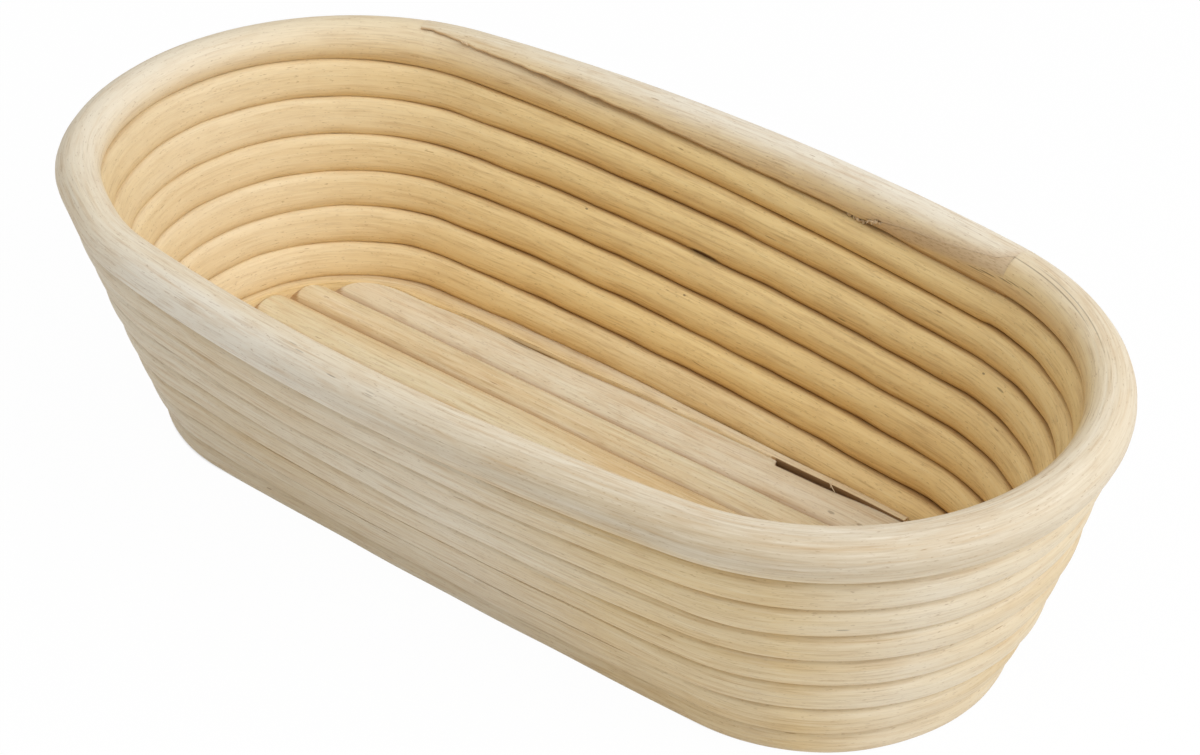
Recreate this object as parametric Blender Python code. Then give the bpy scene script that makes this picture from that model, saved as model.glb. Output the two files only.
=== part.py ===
"""Long oval proofing basket: a wall wound from cane and a floor of straight canes.

Metres, +Z up. The origin lies on the table under the middle of the basket, X runs
along its length and +Y is the side where the winding starts and ends. A place round
the basket is a station from 0 to 4: 0 to 1 is the back side from right to left,
1 to 2 the left end, 2 to 3 the front side and 3 to 4 the right end.
"""
import math

import bpy
import numpy as np
from mathutils import Matrix, Vector

# Overall sizes, outside the cane
RIM_LENGTH = 0.2800
RIM_WIDTH = 0.1493
FOOT_LENGTH = 0.2410
FOOT_WIDTH = 0.0956

# How far each side bows out between the round ends
RIM_SIDE_BOW = 0.0054
FOOT_SIDE_BOW = 0.0013

# The wound cane
TURNS = 8
WALL_CANE = 0.0089
RIM_CANE = 0.0112
TIP_CANE = 0.0014
TURN_GAP = 0.0006
FOOT_FLAT = 0.0005
FIRST_RAMP_END = 1.08
LAST_RAMP_END = 1.42
RAMP_GROWTH = 1.3
TIP_DROP = 0.0010
START_INSET = 0.0032
INSET_HELD_TO = 1.4
INSET_GONE_AT = 2.1
SCARF_LENGTH = 0.040
SCARF_END_SHARE = 0.9
SCARF_SPAN = 0.1
PLANED_LEAST = math.radians(30)

# The floor canes
FLOOR_CANE_WIDTH = 0.0096
FLOOR_CANE_HEIGHT = 0.0085
FLOOR_CANE_GAP = 0.0005

# The wire pins that hold turn to turn and floor to wall
PIN_WIRE = 0.0014
PIN_REACH = 0.0060
PIN_COVER = 0.0015
PIN_STATIONS = (0.5, 1.5, 2.5, 3.5)
PIN_STAGGER = 0.3
TIP_PIN_STATION = 0.65

# Clearance between pieces that touch
SEAT = 0.0003

# How finely curves are drawn: steps in each of the four arcs, and sides of a round
ARC_STEPS = (8, 10, 6, 10)
CANE_SIDES = 12
PLANED_POINTS = 3
PIN_SIDES = 6
FINE_STEPS = (40, 40, 40, 40)
SHARP_ANGLE = math.radians(40)

# Sizes that follow from the ones above
WALL_R = WALL_CANE / 2
RIM_R = RIM_CANE / 2
TIP_R = TIP_CANE / 2
PIN_R = PIN_WIRE / 2
TOP_LEVEL = TURNS - 1
FOOT_SHAPE = np.array([FOOT_LENGTH / 2 - WALL_R, FOOT_WIDTH / 2 - WALL_R, FOOT_SIDE_BOW])
RIM_SHAPE = np.array([RIM_LENGTH / 2 - RIM_R, RIM_WIDTH / 2 - RIM_R, RIM_SIDE_BOW])
TURN_STEP = WALL_CANE + TURN_GAP
RIM_STEP = WALL_R + RIM_R + TURN_GAP
FLARE_STEP = min(RIM_SHAPE[:2] - FOOT_SHAPE[:2]) / TOP_LEVEL
WALL_SLANT = TURN_STEP * (TOP_LEVEL - 1) + RIM_STEP
FOOT_HEIGHT = WALL_R - FOOT_FLAT
WALL_HEIGHT = math.sqrt(WALL_SLANT ** 2 - (FLARE_STEP * TOP_LEVEL) ** 2)
RIM_HEIGHT = FOOT_HEIGHT + WALL_HEIGHT


def smooth(x):
    """Ease from 0 to 1 with no kink at either end."""
    x = np.clip(x, 0.0, 1.0)
    return x * x * (3 - 2 * x)


def oval(shape, station):
    """Points and outward normals of a four-arc oval of the given half length, half width and bow."""
    half_length, half_width, bow = shape
    end_r = half_width - bow
    end_x = half_length - end_r
    side_r = (end_x ** 2 + half_width ** 2 - end_r ** 2) / (2 * bow)
    join = np.arctan2(side_r - half_width, end_x)
    arc = np.floor(station).astype(int) % 4
    share = station - np.floor(station)
    first = np.choose(arc, [join, math.pi - join, math.pi + join, -join])
    swing = np.choose(arc % 2, [math.pi - 2 * join, 2 * join])
    angle = first + share * swing
    radius = np.choose(arc % 2, [side_r, end_r])
    middle_x = np.choose(arc, [0, -end_x, 0, end_x])
    middle_y = np.choose(arc, [half_width - side_r, 0, side_r - half_width, 0])
    normal = np.stack([np.cos(angle), np.sin(angle)], axis=-1)
    point = np.stack([middle_x, middle_y], axis=-1) + radius[..., None] * normal
    return point, normal


def climb(turn, station):
    """Share of one level that a turn has climbed; the higher turns take longer over it."""
    longer = np.clip((turn - 1) / (TOP_LEVEL - 1), 0, 1) ** RAMP_GROWTH
    return smooth(station / (FIRST_RAMP_END + (LAST_RAMP_END - FIRST_RAMP_END) * longer))


def start_inset(station):
    """How far the lowest turn lies inside its oval, most along the back and the left end."""
    come = climb(0, station)
    gone = smooth((station - INSET_HELD_TO) / (INSET_GONE_AT - INSET_HELD_TO))
    return START_INSET * come * (1 - gone)


def level_height(level, station):
    """Height of a turn's centre line; level 0 lies on the table and the top level is the rim."""
    sideways = FLARE_STEP + start_inset(station)
    second = FOOT_HEIGHT + np.sqrt(TURN_STEP ** 2 - sideways ** 2)
    below_rim = TURN_STEP * (TOP_LEVEL - 1)
    up_wall = np.interp(level, [1, TOP_LEVEL - 1, TOP_LEVEL],
                        [0, (below_rim - TURN_STEP) / (below_rim - TURN_STEP + RIM_STEP), 1])
    upper = second + up_wall * (RIM_HEIGHT - second)
    lower = FOOT_HEIGHT + level * (second - FOOT_HEIGHT)
    return np.where(level < 1, lower, upper)


def level_line(level, station):
    """Centre and outward normal at a level of the wall."""
    share = level / TOP_LEVEL
    shape = FOOT_SHAPE[:, None] * (1 - share) + RIM_SHAPE[:, None] * share
    point, normal = oval(shape, station)
    return np.column_stack([point, level_height(level, station)]), normal


def wall_line(turn, station):
    """Centre, outward normal and radius of turns 1 to TURNS - 1, each climbing a level along the back."""
    level = turn - 1 + climb(turn, station)
    centre, normal = level_line(level, station)
    radius = WALL_R + (RIM_R - WALL_R) * np.clip(level - (TOP_LEVEL - 1), 0, 1)
    return centre, normal, radius


def first_line(station):
    """The lowest turn: a thin tip beside the turn above it, which grows and slides under that turn."""
    grown = climb(0, station)
    radius = TIP_R + (WALL_R - TIP_R) * grown
    height = FOOT_HEIGHT + WALL_R - radius - TIP_DROP * (1 - grown)
    above, _, _ = wall_line(np.ones_like(station), station)
    foot, normal = level_line(np.zeros_like(station), station)
    outward = np.sum((above - foot)[:, :2] * normal, axis=1)
    reach = radius + WALL_R + TURN_GAP
    beside = outward - np.sqrt(np.maximum(reach ** 2 - (above[:, 2] - height) ** 2, 0))
    slack = outward - FLARE_STEP * grown
    inward = np.where(station < FIRST_RAMP_END, beside - slack, -start_inset(station))
    point = foot[:, :2] + inward[:, None] * normal
    return np.column_stack([point, height]), normal, radius


def up_the_wall(normal):
    """Directions up the slant of the wall, for an array of outward normals."""
    lean = FLARE_STEP * TOP_LEVEL / WALL_SLANT
    return np.column_stack([normal * lean, np.full(len(normal), math.sqrt(1 - lean ** 2))])


def last_line(station):
    """The end of the winding: it fills the room that is left between the turn below and the rim's top."""
    below, normal, below_r = wall_line(np.full_like(station, TOP_LEVEL), station)
    rim, _ = level_line(np.full_like(station, TOP_LEVEL), station)
    up_wall = up_the_wall(normal)
    room = np.sum((rim - below) * up_wall, axis=1) + RIM_R - below_r - TURN_GAP
    radius = np.clip(room / 2, TIP_R, RIM_R)
    return rim + (RIM_R - radius)[:, None] * up_wall, normal, radius


def closing_end():
    """The station where the end of the winding has thinned to its tip."""
    stations = np.linspace(0, LAST_RAMP_END, sum(FINE_STEPS))
    _, _, radius = last_line(stations)
    return stations[np.argmax(radius <= TIP_R)]


def winding(turn, station):
    """Centre, outward normal and radius of any turn, 0 to TURNS, at an array of stations."""
    if turn == 0:
        return first_line(station)
    if turn == TURNS:
        return last_line(station)
    return wall_line(np.full_like(station, turn), station)


def turn_stations(steps):
    """Stations of one whole turn, with the given number of steps in each arc."""
    return np.concatenate([arc + np.arange(count) / count for arc, count in enumerate(steps)])


def joined(pieces):
    """Join stretches of the winding into one centre line with its outward normals and its radii."""
    return [np.concatenate([piece[part] for piece in pieces]) for part in range(3)]


def tube_faces(rings, sides):
    """Quads along a tube and one flat cap at each end, all facing out."""
    ring = np.arange(rings - 1)[:, None] * sides
    side = np.arange(sides)[None, :]
    following = (side + 1) % sides
    quads = np.stack([ring + side, ring + sides + side, ring + sides + following, ring + following], axis=-1)
    caps = [list(range(sides)), list(range(rings * sides - 1, (rings - 1) * sides - 1, -1))]
    return quads.reshape(-1, 4).tolist() + caps


def new_object(name, vertices, faces, material):
    """A named mesh object with one material."""
    mesh = bpy.data.meshes.new(name)
    mesh.from_pydata(np.asarray(vertices).tolist(), [], faces)
    mesh.update()
    mesh.shade_smooth()
    mesh.set_sharp_from_angle(angle=SHARP_ANGLE)
    thing = bpy.data.objects.new(name, mesh)
    bpy.context.scene.collection.objects.link(thing)
    if material:
        mesh.materials.append(material)
    return thing


def planed_tube(name, centres, normals, radii, material):
    """The rim's last length: round above, and planed flat below as far as the room left for it."""
    up_wall = up_the_wall(normals)
    middle = centres - (RIM_R - radii)[:, None] * up_wall
    outward = np.cross(np.gradient(middle, axis=0), up_wall)
    outward /= np.linalg.norm(outward, axis=1)[:, None]
    flat = (RIM_R - 2 * radii)[:, None]
    first = np.arcsin(np.maximum(flat / RIM_R, -math.cos(PLANED_LEAST)))
    arc = first + (math.pi - 2 * first) * np.linspace(0, 1, CANE_SIDES - PLANED_POINTS)
    across = -RIM_R * np.cos(first) * np.linspace(1, -1, PLANED_POINTS + 2)[1:-1]
    below = np.maximum(-np.sqrt(RIM_R ** 2 - across ** 2), flat)
    side = np.concatenate([RIM_R * np.cos(arc), across], axis=1)
    height = np.concatenate([RIM_R * np.sin(arc), below], axis=1)
    vertices = middle[:, None] + side[..., None] * outward[:, None] + height[..., None] * up_wall[:, None]
    return new_object(name, vertices.reshape(-1, 3), tube_faces(len(centres), CANE_SIDES), material)


def tube(name, centres, radii, sides, material, squash=1.0):
    """A round tube along a centre line; squash is its height as a share of its width."""
    along = np.gradient(centres, axis=0)
    along /= np.linalg.norm(along, axis=1)[:, None]
    out = np.cross(along, [0.0, 0.0, 1.0])
    out /= np.linalg.norm(out, axis=1)[:, None]
    up = np.cross(out, along)
    angle = 2 * math.pi * np.arange(sides) / sides
    ring = np.cos(angle)[None, :, None] * out[:, None] + squash * np.sin(angle)[None, :, None] * up[:, None]
    vertices = centres[:, None] + radii[:, None, None] * ring
    return new_object(name, vertices.reshape(-1, 3), tube_faces(len(centres), sides), material)


def rod_vertices(start, end, radius, sides):
    """Two rings of a straight rod between two points."""
    along = Vector(end) - Vector(start)
    turn = along.to_track_quat("Z", "Y").to_matrix()
    angles = [2 * math.pi * k / sides for k in range(sides)]
    ring = [turn @ Vector((radius * math.cos(a), -radius * math.sin(a), 0)) for a in angles]
    return [Vector(start) + v for v in ring] + [Vector(end) + v for v in ring]


def rod(name, start, end, radius, material):
    """A straight wire pin."""
    return new_object(name, rod_vertices(start, end, radius, PIN_SIDES), tube_faces(2, PIN_SIDES), material)


def box(name, size, frame):
    """A cutter with its near bottom corner at the frame's origin."""
    corners = [(x * size[0], y * size[1], z * size[2]) for z in (0, 1) for y in (0, 1) for x in (0, 1)]
    faces = [[0, 2, 3, 1], [4, 5, 7, 6], [0, 1, 5, 4], [2, 6, 7, 3], [0, 4, 6, 2], [1, 3, 7, 5]]
    cutter = new_object(name, corners, faces, None)
    cutter.matrix_world = frame
    return as_cutter(cutter)


def as_cutter(thing):
    """Mark an object as a cutting tool only."""
    thing.hide_render = True
    thing.display_type = "WIRE"
    return thing


def cut(thing, cutter, operation="DIFFERENCE"):
    """Take the cutter's shape out of an object, or keep only what is inside it."""
    modifier = thing.modifiers.new(cutter.name, "BOOLEAN")
    modifier.operation = operation
    modifier.solver = "EXACT"
    modifier.object = cutter


def material(name, colour, roughness, metallic=0.0):
    """A plain Principled material."""
    made = bpy.data.materials.new(name)
    made.use_nodes = True
    shader = made.node_tree.nodes["Principled BSDF"]
    shader.inputs["Base Color"].default_value = (*colour, 1.0)
    shader.inputs["Roughness"].default_value = roughness
    shader.inputs["Metallic"].default_value = metallic
    return made


def least_gap():
    """Least gap of the winding to itself, on points at least half a turn apart along the cane."""
    stations = turn_stations(FINE_STEPS)
    ends = stations[stations <= closing_end()]
    centres, _, radii = joined([winding(turn, stations) for turn in range(TURNS)] + [winding(TURNS, ends)])
    half_turn = len(stations) // 2
    gaps = []
    for place in range(len(centres) - half_turn):
        later = slice(place + half_turn, None)
        apart = np.linalg.norm(centres[later] - centres[place], axis=1)
        gaps.append(np.min(apart - radii[later]) - radii[place])
    return min(gaps)


def scarf_frame():
    """Middle of the rim's scarf joint with its run, its outward and its upward direction."""
    centre, normal, _ = winding(TURNS, np.array([0.0]))
    outward = Vector((*normal[0], 0.0))
    along = Vector((0, 0, 1)).cross(outward)
    slope = math.atan2(RIM_CANE, SCARF_LENGTH)
    run = math.cos(slope) * along - Vector((0, 0, math.sin(slope)))
    return Vector(centre[0]), run, outward, outward.cross(run)


def station_length(turn, start, end):
    """Length of the winding for one whole step of station, taken between two stations."""
    pair, _, _ = winding(turn, np.array([start, end]))
    return np.linalg.norm(pair[1] - pair[0]) / (end - start)


def wall_pins():
    """Start and end of each pin that holds a turn to the turn above it, by name."""
    places = {}
    for lower in range(TURNS - 1):
        for count, base in enumerate(PIN_STATIONS):
            places[f"wall_pin_{lower + 1}_{count + 1}"] = (lower, base + PIN_STAGGER * (lower % 2))
    places["tip_pin"] = (TURNS - 1, TIP_PIN_STATION)
    return {name: pin_between(*place) for name, place in places.items()}


def pin_between(lower, station):
    """Ends of a pin from inside one turn to inside the turn above it."""
    below, _, below_r = winding(lower, np.array([station]))
    above, _, above_r = winding(lower + 1, np.array([station]))
    line = Vector(above[0] - below[0]).normalized()
    seam = Vector(below[0]) + line * below_r[0]
    down = min(PIN_REACH, 2 * below_r[0] - PIN_COVER)
    up = min(PIN_REACH, 2 * above_r[0] - PIN_COVER) + TURN_GAP
    return seam - line * down, seam + line * up


def scarf_pin():
    """Ends of the upright pin through the scarf joint."""
    centre, _, _, _ = scarf_frame()
    half = Vector((0, 0, RIM_R - PIN_COVER))
    return centre - half, centre + half


def floor_outline():
    """The edge of the floor in plan: the inner side of the lowest turn, less the seat."""
    centres, normal, radii = winding(0, turn_stations(ARC_STEPS))
    return centres[:, :2] - (radii + SEAT)[:, None] * normal


def floor_rows():
    """Middle of each floor cane across the basket: as many as fill the floor, evenly spread."""
    side = FOOT_SHAPE[1] - FOOT_SIDE_BOW - WALL_R - SEAT
    width = 2 * side - START_INSET
    count = int(width / (FLOOR_CANE_WIDTH + FLOOR_CANE_GAP))
    return [width * (row + 0.5) / count - side for row in range(count)]


def floor_end(across, direction):
    """Where the middle of a floor cane meets the edge of the floor, to the left or to the right."""
    edge = floor_outline()
    edge = edge[edge[:, 0] * direction > 0]
    order = np.argsort(edge[:, 1])
    return np.interp(across, edge[order, 1], edge[order, 0])


def floor_cane(name, across, made):
    """A straight cane, made long enough to be trimmed to the edge of the floor."""
    along = np.array([-FOOT_LENGTH / 2, FOOT_LENGTH / 2])
    height = FLOOR_CANE_HEIGHT / 2 - FOOT_FLAT
    centres = np.column_stack([along, np.full_like(along, across), np.full_like(along, height)])
    radii = np.full_like(along, FLOOR_CANE_WIDTH / 2)
    return tube(name, centres, radii, CANE_SIDES, made, FLOOR_CANE_HEIGHT / FLOOR_CANE_WIDTH)


def floor_trim():
    """An upright prism over the floor's outline."""
    edge = floor_outline()[::-1]
    low = np.column_stack([edge, np.full(len(edge), -WALL_CANE)])
    high = np.column_stack([edge, np.full(len(edge), 2 * WALL_CANE)])
    return as_cutter(new_object("trim_to_floor", np.concatenate([low, high]), tube_faces(2, len(edge)), None))


def floor_pin(across, direction):
    """Ends of a pin through the lowest turn into the end of a floor cane."""
    seam = Vector((floor_end(across, direction), across, FLOOR_CANE_HEIGHT / 2 - FOOT_FLAT))
    along = Vector((direction, 0, 0))
    return seam - along * PIN_REACH, seam + along * (SEAT + PIN_REACH)


def build():
    """Make every piece of the basket."""
    for thing in list(bpy.data.objects):
        bpy.data.objects.remove(thing, do_unlink=True)
    wall_cane = material("wall_cane", (0.74, 0.57, 0.32), 0.55)
    rim_cane = material("rim_cane", (0.80, 0.68, 0.47), 0.50)
    floor_material = material("floor_cane", (0.70, 0.54, 0.31), 0.60)
    wire = material("pin_wire", (0.55, 0.55, 0.56), 0.35, 1.0)

    scarf_back = SCARF_LENGTH / 2 / station_length(TURNS - 1, 4 - SCARF_SPAN, 4 - SCARF_SPAN / 2)
    scarf_on = SCARF_END_SHARE * SCARF_LENGTH / 2 / station_length(TURNS, 0, SCARF_SPAN)
    whole = turn_stations(ARC_STEPS)
    coil_end = np.array([0.0, scarf_on / 2, scarf_on])
    closing_start = 4 - np.array([scarf_back, scarf_back / 2])
    closing_rest = np.linspace(0, closing_end(), ARC_STEPS[0])
    coil_line = [winding(turn, whole) for turn in range(TURNS)] + [winding(TURNS, coil_end)]
    closing_line = [winding(TURNS - 1, closing_start), winding(TURNS, closing_rest)]
    centres, _, radii = joined(coil_line)
    coil = tube("coil_cane", centres, radii, CANE_SIDES, wall_cane)
    closing = planed_tube("closing_cane", *joined(closing_line), rim_cane)
    canes = [floor_cane(f"floor_cane_{row + 1}", across, floor_material)
             for row, across in enumerate(floor_rows())]

    centre, run, outward, upward = scarf_frame()
    turned = Matrix((run, -outward, upward)).transposed().to_4x4()
    before = 2 * SCARF_LENGTH
    corner = centre - run * before + outward * RIM_CANE
    size = (before + SCARF_LENGTH / 2 + SEAT, 2 * RIM_CANE, 2 * RIM_CANE)
    above = Matrix.Translation(corner - upward * SEAT / 2) @ turned
    below = Matrix.Translation(corner - upward * (size[2] - SEAT / 2)) @ turned
    cut(coil, box("cut_above_scarf", size, above))
    cut(closing, box("cut_below_scarf", size, below))

    table = Matrix.Translation((-RIM_LENGTH, -RIM_WIDTH, -WALL_CANE))
    under = box("cut_under_foot", (2 * RIM_LENGTH, 2 * RIM_WIDTH, WALL_CANE), table)
    for piece in [coil] + canes:
        cut(piece, under)
    inside = floor_trim()
    for piece in canes:
        cut(piece, inside, "INTERSECT")

    pins = wall_pins()
    pins["scarf_pin"] = scarf_pin()
    for row, across in enumerate(floor_rows()):
        pins[f"floor_pin_{row + 1}_left"] = floor_pin(across, -1)
        pins[f"floor_pin_{row + 1}_right"] = floor_pin(across, 1)
    holes = []
    for name, (start, end) in pins.items():
        rod(name, start, end, PIN_R, wire)
        over = (end - start).normalized() * SEAT
        holes.append(rod_vertices(start - over, end + over, PIN_R + SEAT, PIN_SIDES))
    faces = [[corner + 2 * PIN_SIDES * hole for corner in face]
             for hole in range(len(holes)) for face in tube_faces(2, PIN_SIDES)]
    drills = as_cutter(new_object("cut_pin_holes", np.concatenate([np.array(h) for h in holes]), faces, None))
    for piece in [coil, closing] + canes:
        cut(piece, drills)

    print(f"floor canes {len(canes)}, pins {len(pins)}")
    print(f"rim centre height {RIM_HEIGHT * 1000:.2f} mm")
    print(f"least gap of the winding to itself {least_gap() * 1000:.2f} mm")


build()
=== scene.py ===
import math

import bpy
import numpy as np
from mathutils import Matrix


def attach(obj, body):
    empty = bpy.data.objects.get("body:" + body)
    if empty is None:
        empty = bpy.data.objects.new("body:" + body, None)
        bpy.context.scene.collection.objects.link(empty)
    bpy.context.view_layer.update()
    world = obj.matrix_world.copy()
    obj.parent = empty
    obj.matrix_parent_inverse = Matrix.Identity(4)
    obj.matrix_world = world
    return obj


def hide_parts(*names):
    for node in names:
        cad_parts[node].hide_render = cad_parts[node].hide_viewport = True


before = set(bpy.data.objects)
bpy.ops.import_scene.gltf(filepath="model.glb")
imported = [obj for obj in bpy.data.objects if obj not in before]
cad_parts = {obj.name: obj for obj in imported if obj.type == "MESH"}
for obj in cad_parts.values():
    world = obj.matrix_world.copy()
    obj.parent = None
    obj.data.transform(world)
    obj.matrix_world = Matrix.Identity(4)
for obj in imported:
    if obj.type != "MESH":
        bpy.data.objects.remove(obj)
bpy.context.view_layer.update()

# %% [markdown]
# # A rattan proofing basket
# A baker lets dough rise in a basket like this one. A single rattan cane is wound into a flared
# oval wall, straight canes make the floor, and hidden wire pins hold turn to turn.
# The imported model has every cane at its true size, but plain. Each cane is made again here as a
# section carried along a path. The sections change slowly, so that neighbours press together,
# and every point remembers where it lies in the cane, so that the grain can follow it.

# %% [markdown]
# ## The path of the winding
# Seen from above, every turn is an oval of four arcs. A place round the basket is a station from
# 0 to 4: the back side, the left end, the front side and the right end. Each turn rests on the
# turn before it, so it has to climb by one level. It does so along the back.
# A drawn curve could follow this too. Formulas also give the direction out of the wall and the
# radius at every station, which the sections need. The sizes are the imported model's, in metres.

# %% Sizes of the winding
RIM_LENGTH, RIM_WIDTH, RIM_SIDE_BOW = 0.2800, 0.1493, 0.0054
FOOT_LENGTH, FOOT_WIDTH, FOOT_SIDE_BOW = 0.2410, 0.0956, 0.0013
TURNS = 8
WALL_R, RIM_R, TIP_R = 0.00445, 0.0056, 0.0007
TURN_GAP, FOOT_FLAT = 0.0006, 0.0005
FIRST_RAMP_END, LAST_RAMP_END, RAMP_GROWTH = 1.08, 1.42, 1.3
EARLY_START = 0.45
TIP_DROP, START_INSET = 0.0010, 0.0032
INSET_HELD_TO, INSET_GONE_AT = 1.4, 2.1
LEFT_TUCK = 0.0012

TOP_LEVEL = TURNS - 1
FOOT_SHAPE = np.array([FOOT_LENGTH / 2 - WALL_R, FOOT_WIDTH / 2 - WALL_R, FOOT_SIDE_BOW])
RIM_SHAPE = np.array([RIM_LENGTH / 2 - RIM_R, RIM_WIDTH / 2 - RIM_R, RIM_SIDE_BOW])
TURN_STEP = 2 * WALL_R + TURN_GAP
RIM_STEP = WALL_R + RIM_R + TURN_GAP
FLARE_STEP = min(RIM_SHAPE[:2] - FOOT_SHAPE[:2]) / TOP_LEVEL
WALL_SLANT = TURN_STEP * (TOP_LEVEL - 1) + RIM_STEP
FOOT_HEIGHT = WALL_R - FOOT_FLAT
RIM_HEIGHT = FOOT_HEIGHT + math.sqrt(WALL_SLANT ** 2 - (FLARE_STEP * TOP_LEVEL) ** 2)
print(f"rim centre at {RIM_HEIGHT * 1000:.1f} mm")


# %% The oval and the climb
def smooth(x):
    """Ease from 0 to 1: three x squared less two x cubed."""
    x = np.clip(x, 0.0, 1.0)
    return x * x * (3 - 2 * x)


def ramp(x, start, over):
    """0 up to a start, then an ease to 1 over a distance. A ramp is kept as that pair."""
    return smooth((x - start) / over)


def hump(x, middle, spread):
    """A bell: e to the power of minus the squared distance from its middle, counted in spreads."""
    return np.exp(-((x - middle) / spread) ** 2)


def oval(shape, station):
    """Point and outward normal on four arcs: the end arcs have radius half width less bow, and
    the side arcs pass through the ends' tangent points with the given bow."""
    half_length, half_width, bow = shape
    end_r = half_width - bow
    end_x = half_length - end_r
    side_r = (end_x ** 2 + half_width ** 2 - end_r ** 2) / (2 * bow)
    join = np.arctan2(side_r - half_width, end_x)
    arc = np.floor(station).astype(int) % 4
    share = station - np.floor(station)
    first = np.choose(arc, [join, math.pi - join, math.pi + join, -join])
    swing = np.choose(arc % 2, [math.pi - 2 * join, 2 * join])
    angle = first + share * swing
    radius = np.choose(arc % 2, [side_r, end_r])
    middle_x = np.choose(arc, [0, -end_x, 0, end_x])
    middle_y = np.choose(arc, [half_width - side_r, 0, side_r - half_width, 0])
    normal = np.stack([np.cos(angle), np.sin(angle)], axis=-1)
    return np.stack([middle_x, middle_y], axis=-1) + radius[..., None] * normal, normal


def climb(turn, station):
    """Share of one level climbed: the higher the turn, the longer it takes. The first and the last
    turn ease in at the back right corner. The others start before it, half straight, half eased."""
    longer = np.clip((turn - 1) / (TOP_LEVEL - 1), 0, 1) ** RAMP_GROWTH
    end = FIRST_RAMP_END + (LAST_RAMP_END - FIRST_RAMP_END) * longer
    if turn in (0, TOP_LEVEL):
        return smooth(station / end)
    share = np.clip((station + EARLY_START) / (end + EARLY_START), 0, 1)
    return (share + smooth(share)) / 2


def start_inset(station):
    """The lowest turn lies a little inside its oval along the back and the left end."""
    gone = ramp(station, INSET_HELD_TO, INSET_GONE_AT - INSET_HELD_TO)
    return START_INSET * climb(0, station) * (1 - gone)


def level_height(level, station):
    """Height of a level's centre: equal steps up the slant, with a wider one below the rim."""
    second = FOOT_HEIGHT + np.sqrt(TURN_STEP ** 2 - (FLARE_STEP + start_inset(station)) ** 2)
    below_rim = TURN_STEP * (TOP_LEVEL - 2)
    up_wall = np.interp(level, [1, TOP_LEVEL - 1, TOP_LEVEL],
                        [0, below_rim / (below_rim + RIM_STEP), 1])
    upper = second + up_wall * (RIM_HEIGHT - second)
    return np.where(level < 1, FOOT_HEIGHT + level * (second - FOOT_HEIGHT), upper)


def level_line(level, station):
    """Centre and outward normal at a level: the foot's oval eased into the rim's oval."""
    share = level / TOP_LEVEL
    shape = FOOT_SHAPE[:, None] * (1 - share) + RIM_SHAPE[:, None] * share
    point, normal = oval(shape, station)
    point[:, 0] += LEFT_TUCK * smooth(-point[:, 0] / shape[0])
    return np.column_stack([point, level_height(level, station)]), normal


# %% The turns of the winding
def turn_level(turn, station):
    """Level of a turn: the lowest lies on the table, the others climb one level at the back. The end
    of each already takes part in the next turn's climb."""
    level = np.zeros_like(station) if turn == 0 else turn - 1 + climb(turn, station)
    return level + climb(turn + 1, station - 4) if turn < TOP_LEVEL else level


def turn_line(turn, station):
    """Centre, normal and radius of turns 1 to 7; the radius grows on the last climb to the rim."""
    level = turn_level(turn, station)
    centre, normal = level_line(level, station)
    return centre, normal, WALL_R + (RIM_R - WALL_R) * np.clip(level - TOP_LEVEL + 1, 0, 1)


def first_line(station):
    """The lowest turn: a thin tip beside the next turn, which grows and slides under it.
    Its sideways place is that of a circle that touches the next turn's circle."""
    grown = climb(0, station)
    radius = TIP_R + (WALL_R - TIP_R) * grown
    above, _, _ = turn_line(1, station)
    foot, normal = level_line(turn_level(0, station), station)
    height = foot[:, 2] + WALL_R - radius - TIP_DROP * (1 - grown)
    outward = np.sum((above - foot)[:, :2] * normal, axis=1)
    reach = radius + WALL_R + TURN_GAP
    beside = outward - np.sqrt(np.maximum(reach ** 2 - (above[:, 2] - height) ** 2, 0))
    slack = outward - FLARE_STEP * grown
    inward = np.where(station < FIRST_RAMP_END, beside - slack, -start_inset(station))
    return np.column_stack([foot[:, :2] + inward[:, None] * normal, height]), normal, radius


def wall_up(level, station):
    """Direction up the wall: from half a level below to half a level above."""
    low, _ = level_line(np.clip(level - 0.5, 0, TOP_LEVEL), station)
    high, _ = level_line(np.clip(level + 0.5, 0, TOP_LEVEL), station)
    return (high - low) / np.linalg.norm(high - low, axis=1)[:, None]


def rim_line(station):
    """Centre and direction up the wall on the rim, for stations that may also be below 0."""
    top = np.full_like(station, TOP_LEVEL)
    return level_line(top, station % 4)[0], wall_up(top, station % 4)


def winding(turn, station):
    """Centre, normal and radius of any turn from 0 to 7."""
    return first_line(station) if turn == 0 else turn_line(turn, station)


SEAT_DROP, SEAT_IN, SEAT_OUT = 0.00075, (0.3, 0.2), (0.98, 0.1)


def rim_seat(station):
    """Height above the rim's centre, up the wall, of the flat underside of the rim's last length:
    it lies on the turn that climbs below it, let into it by a little along the middle."""
    below, _, below_r = turn_line(TOP_LEVEL, station)
    rim, up = rim_line(station)
    let_in = SEAT_DROP * ramp(station, *SEAT_IN) * (1 - ramp(station, *SEAT_OUT))
    return below_r + TURN_GAP / 2 - np.sum((rim - below) * up, axis=1) - let_in


CLOSING_TRIALS = 400


def closing_end():
    """The station where the rim's last length has thinned to its tip."""
    stations = np.linspace(0, LAST_RAMP_END, CLOSING_TRIALS)
    return stations[np.argmax(rim_seat(stations) > RIM_R - 2 * TIP_R)]


CLOSING_END = closing_end()
print(f"the rim's last length ends at station {CLOSING_END:.2f}")

# %% [markdown]
# ## A section carried along a path
# A cane is a tube, but where turns press on each other it is flattened, and the outside was sanded.
# So each ring is a superellipse with its own reach up, down and out, or a circle that is planed
# flat on one side. A bevelled curve would keep one section all along, so the rings are worked out
# with numpy. Every point also keeps attributes: its place in the straightened cane, which the grain
# follows, how near it is to a groove, and how pale or golden the cane is there.

# %% Rings
SIDES, CHORD_POINTS = 32, 7
LOWEST_FLAT, HIGHEST_FLAT = -0.985, 0.9995
WAVES, WAVE_SIZE = 6, 1.7
RANDOM = np.random.default_rng(7)


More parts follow.
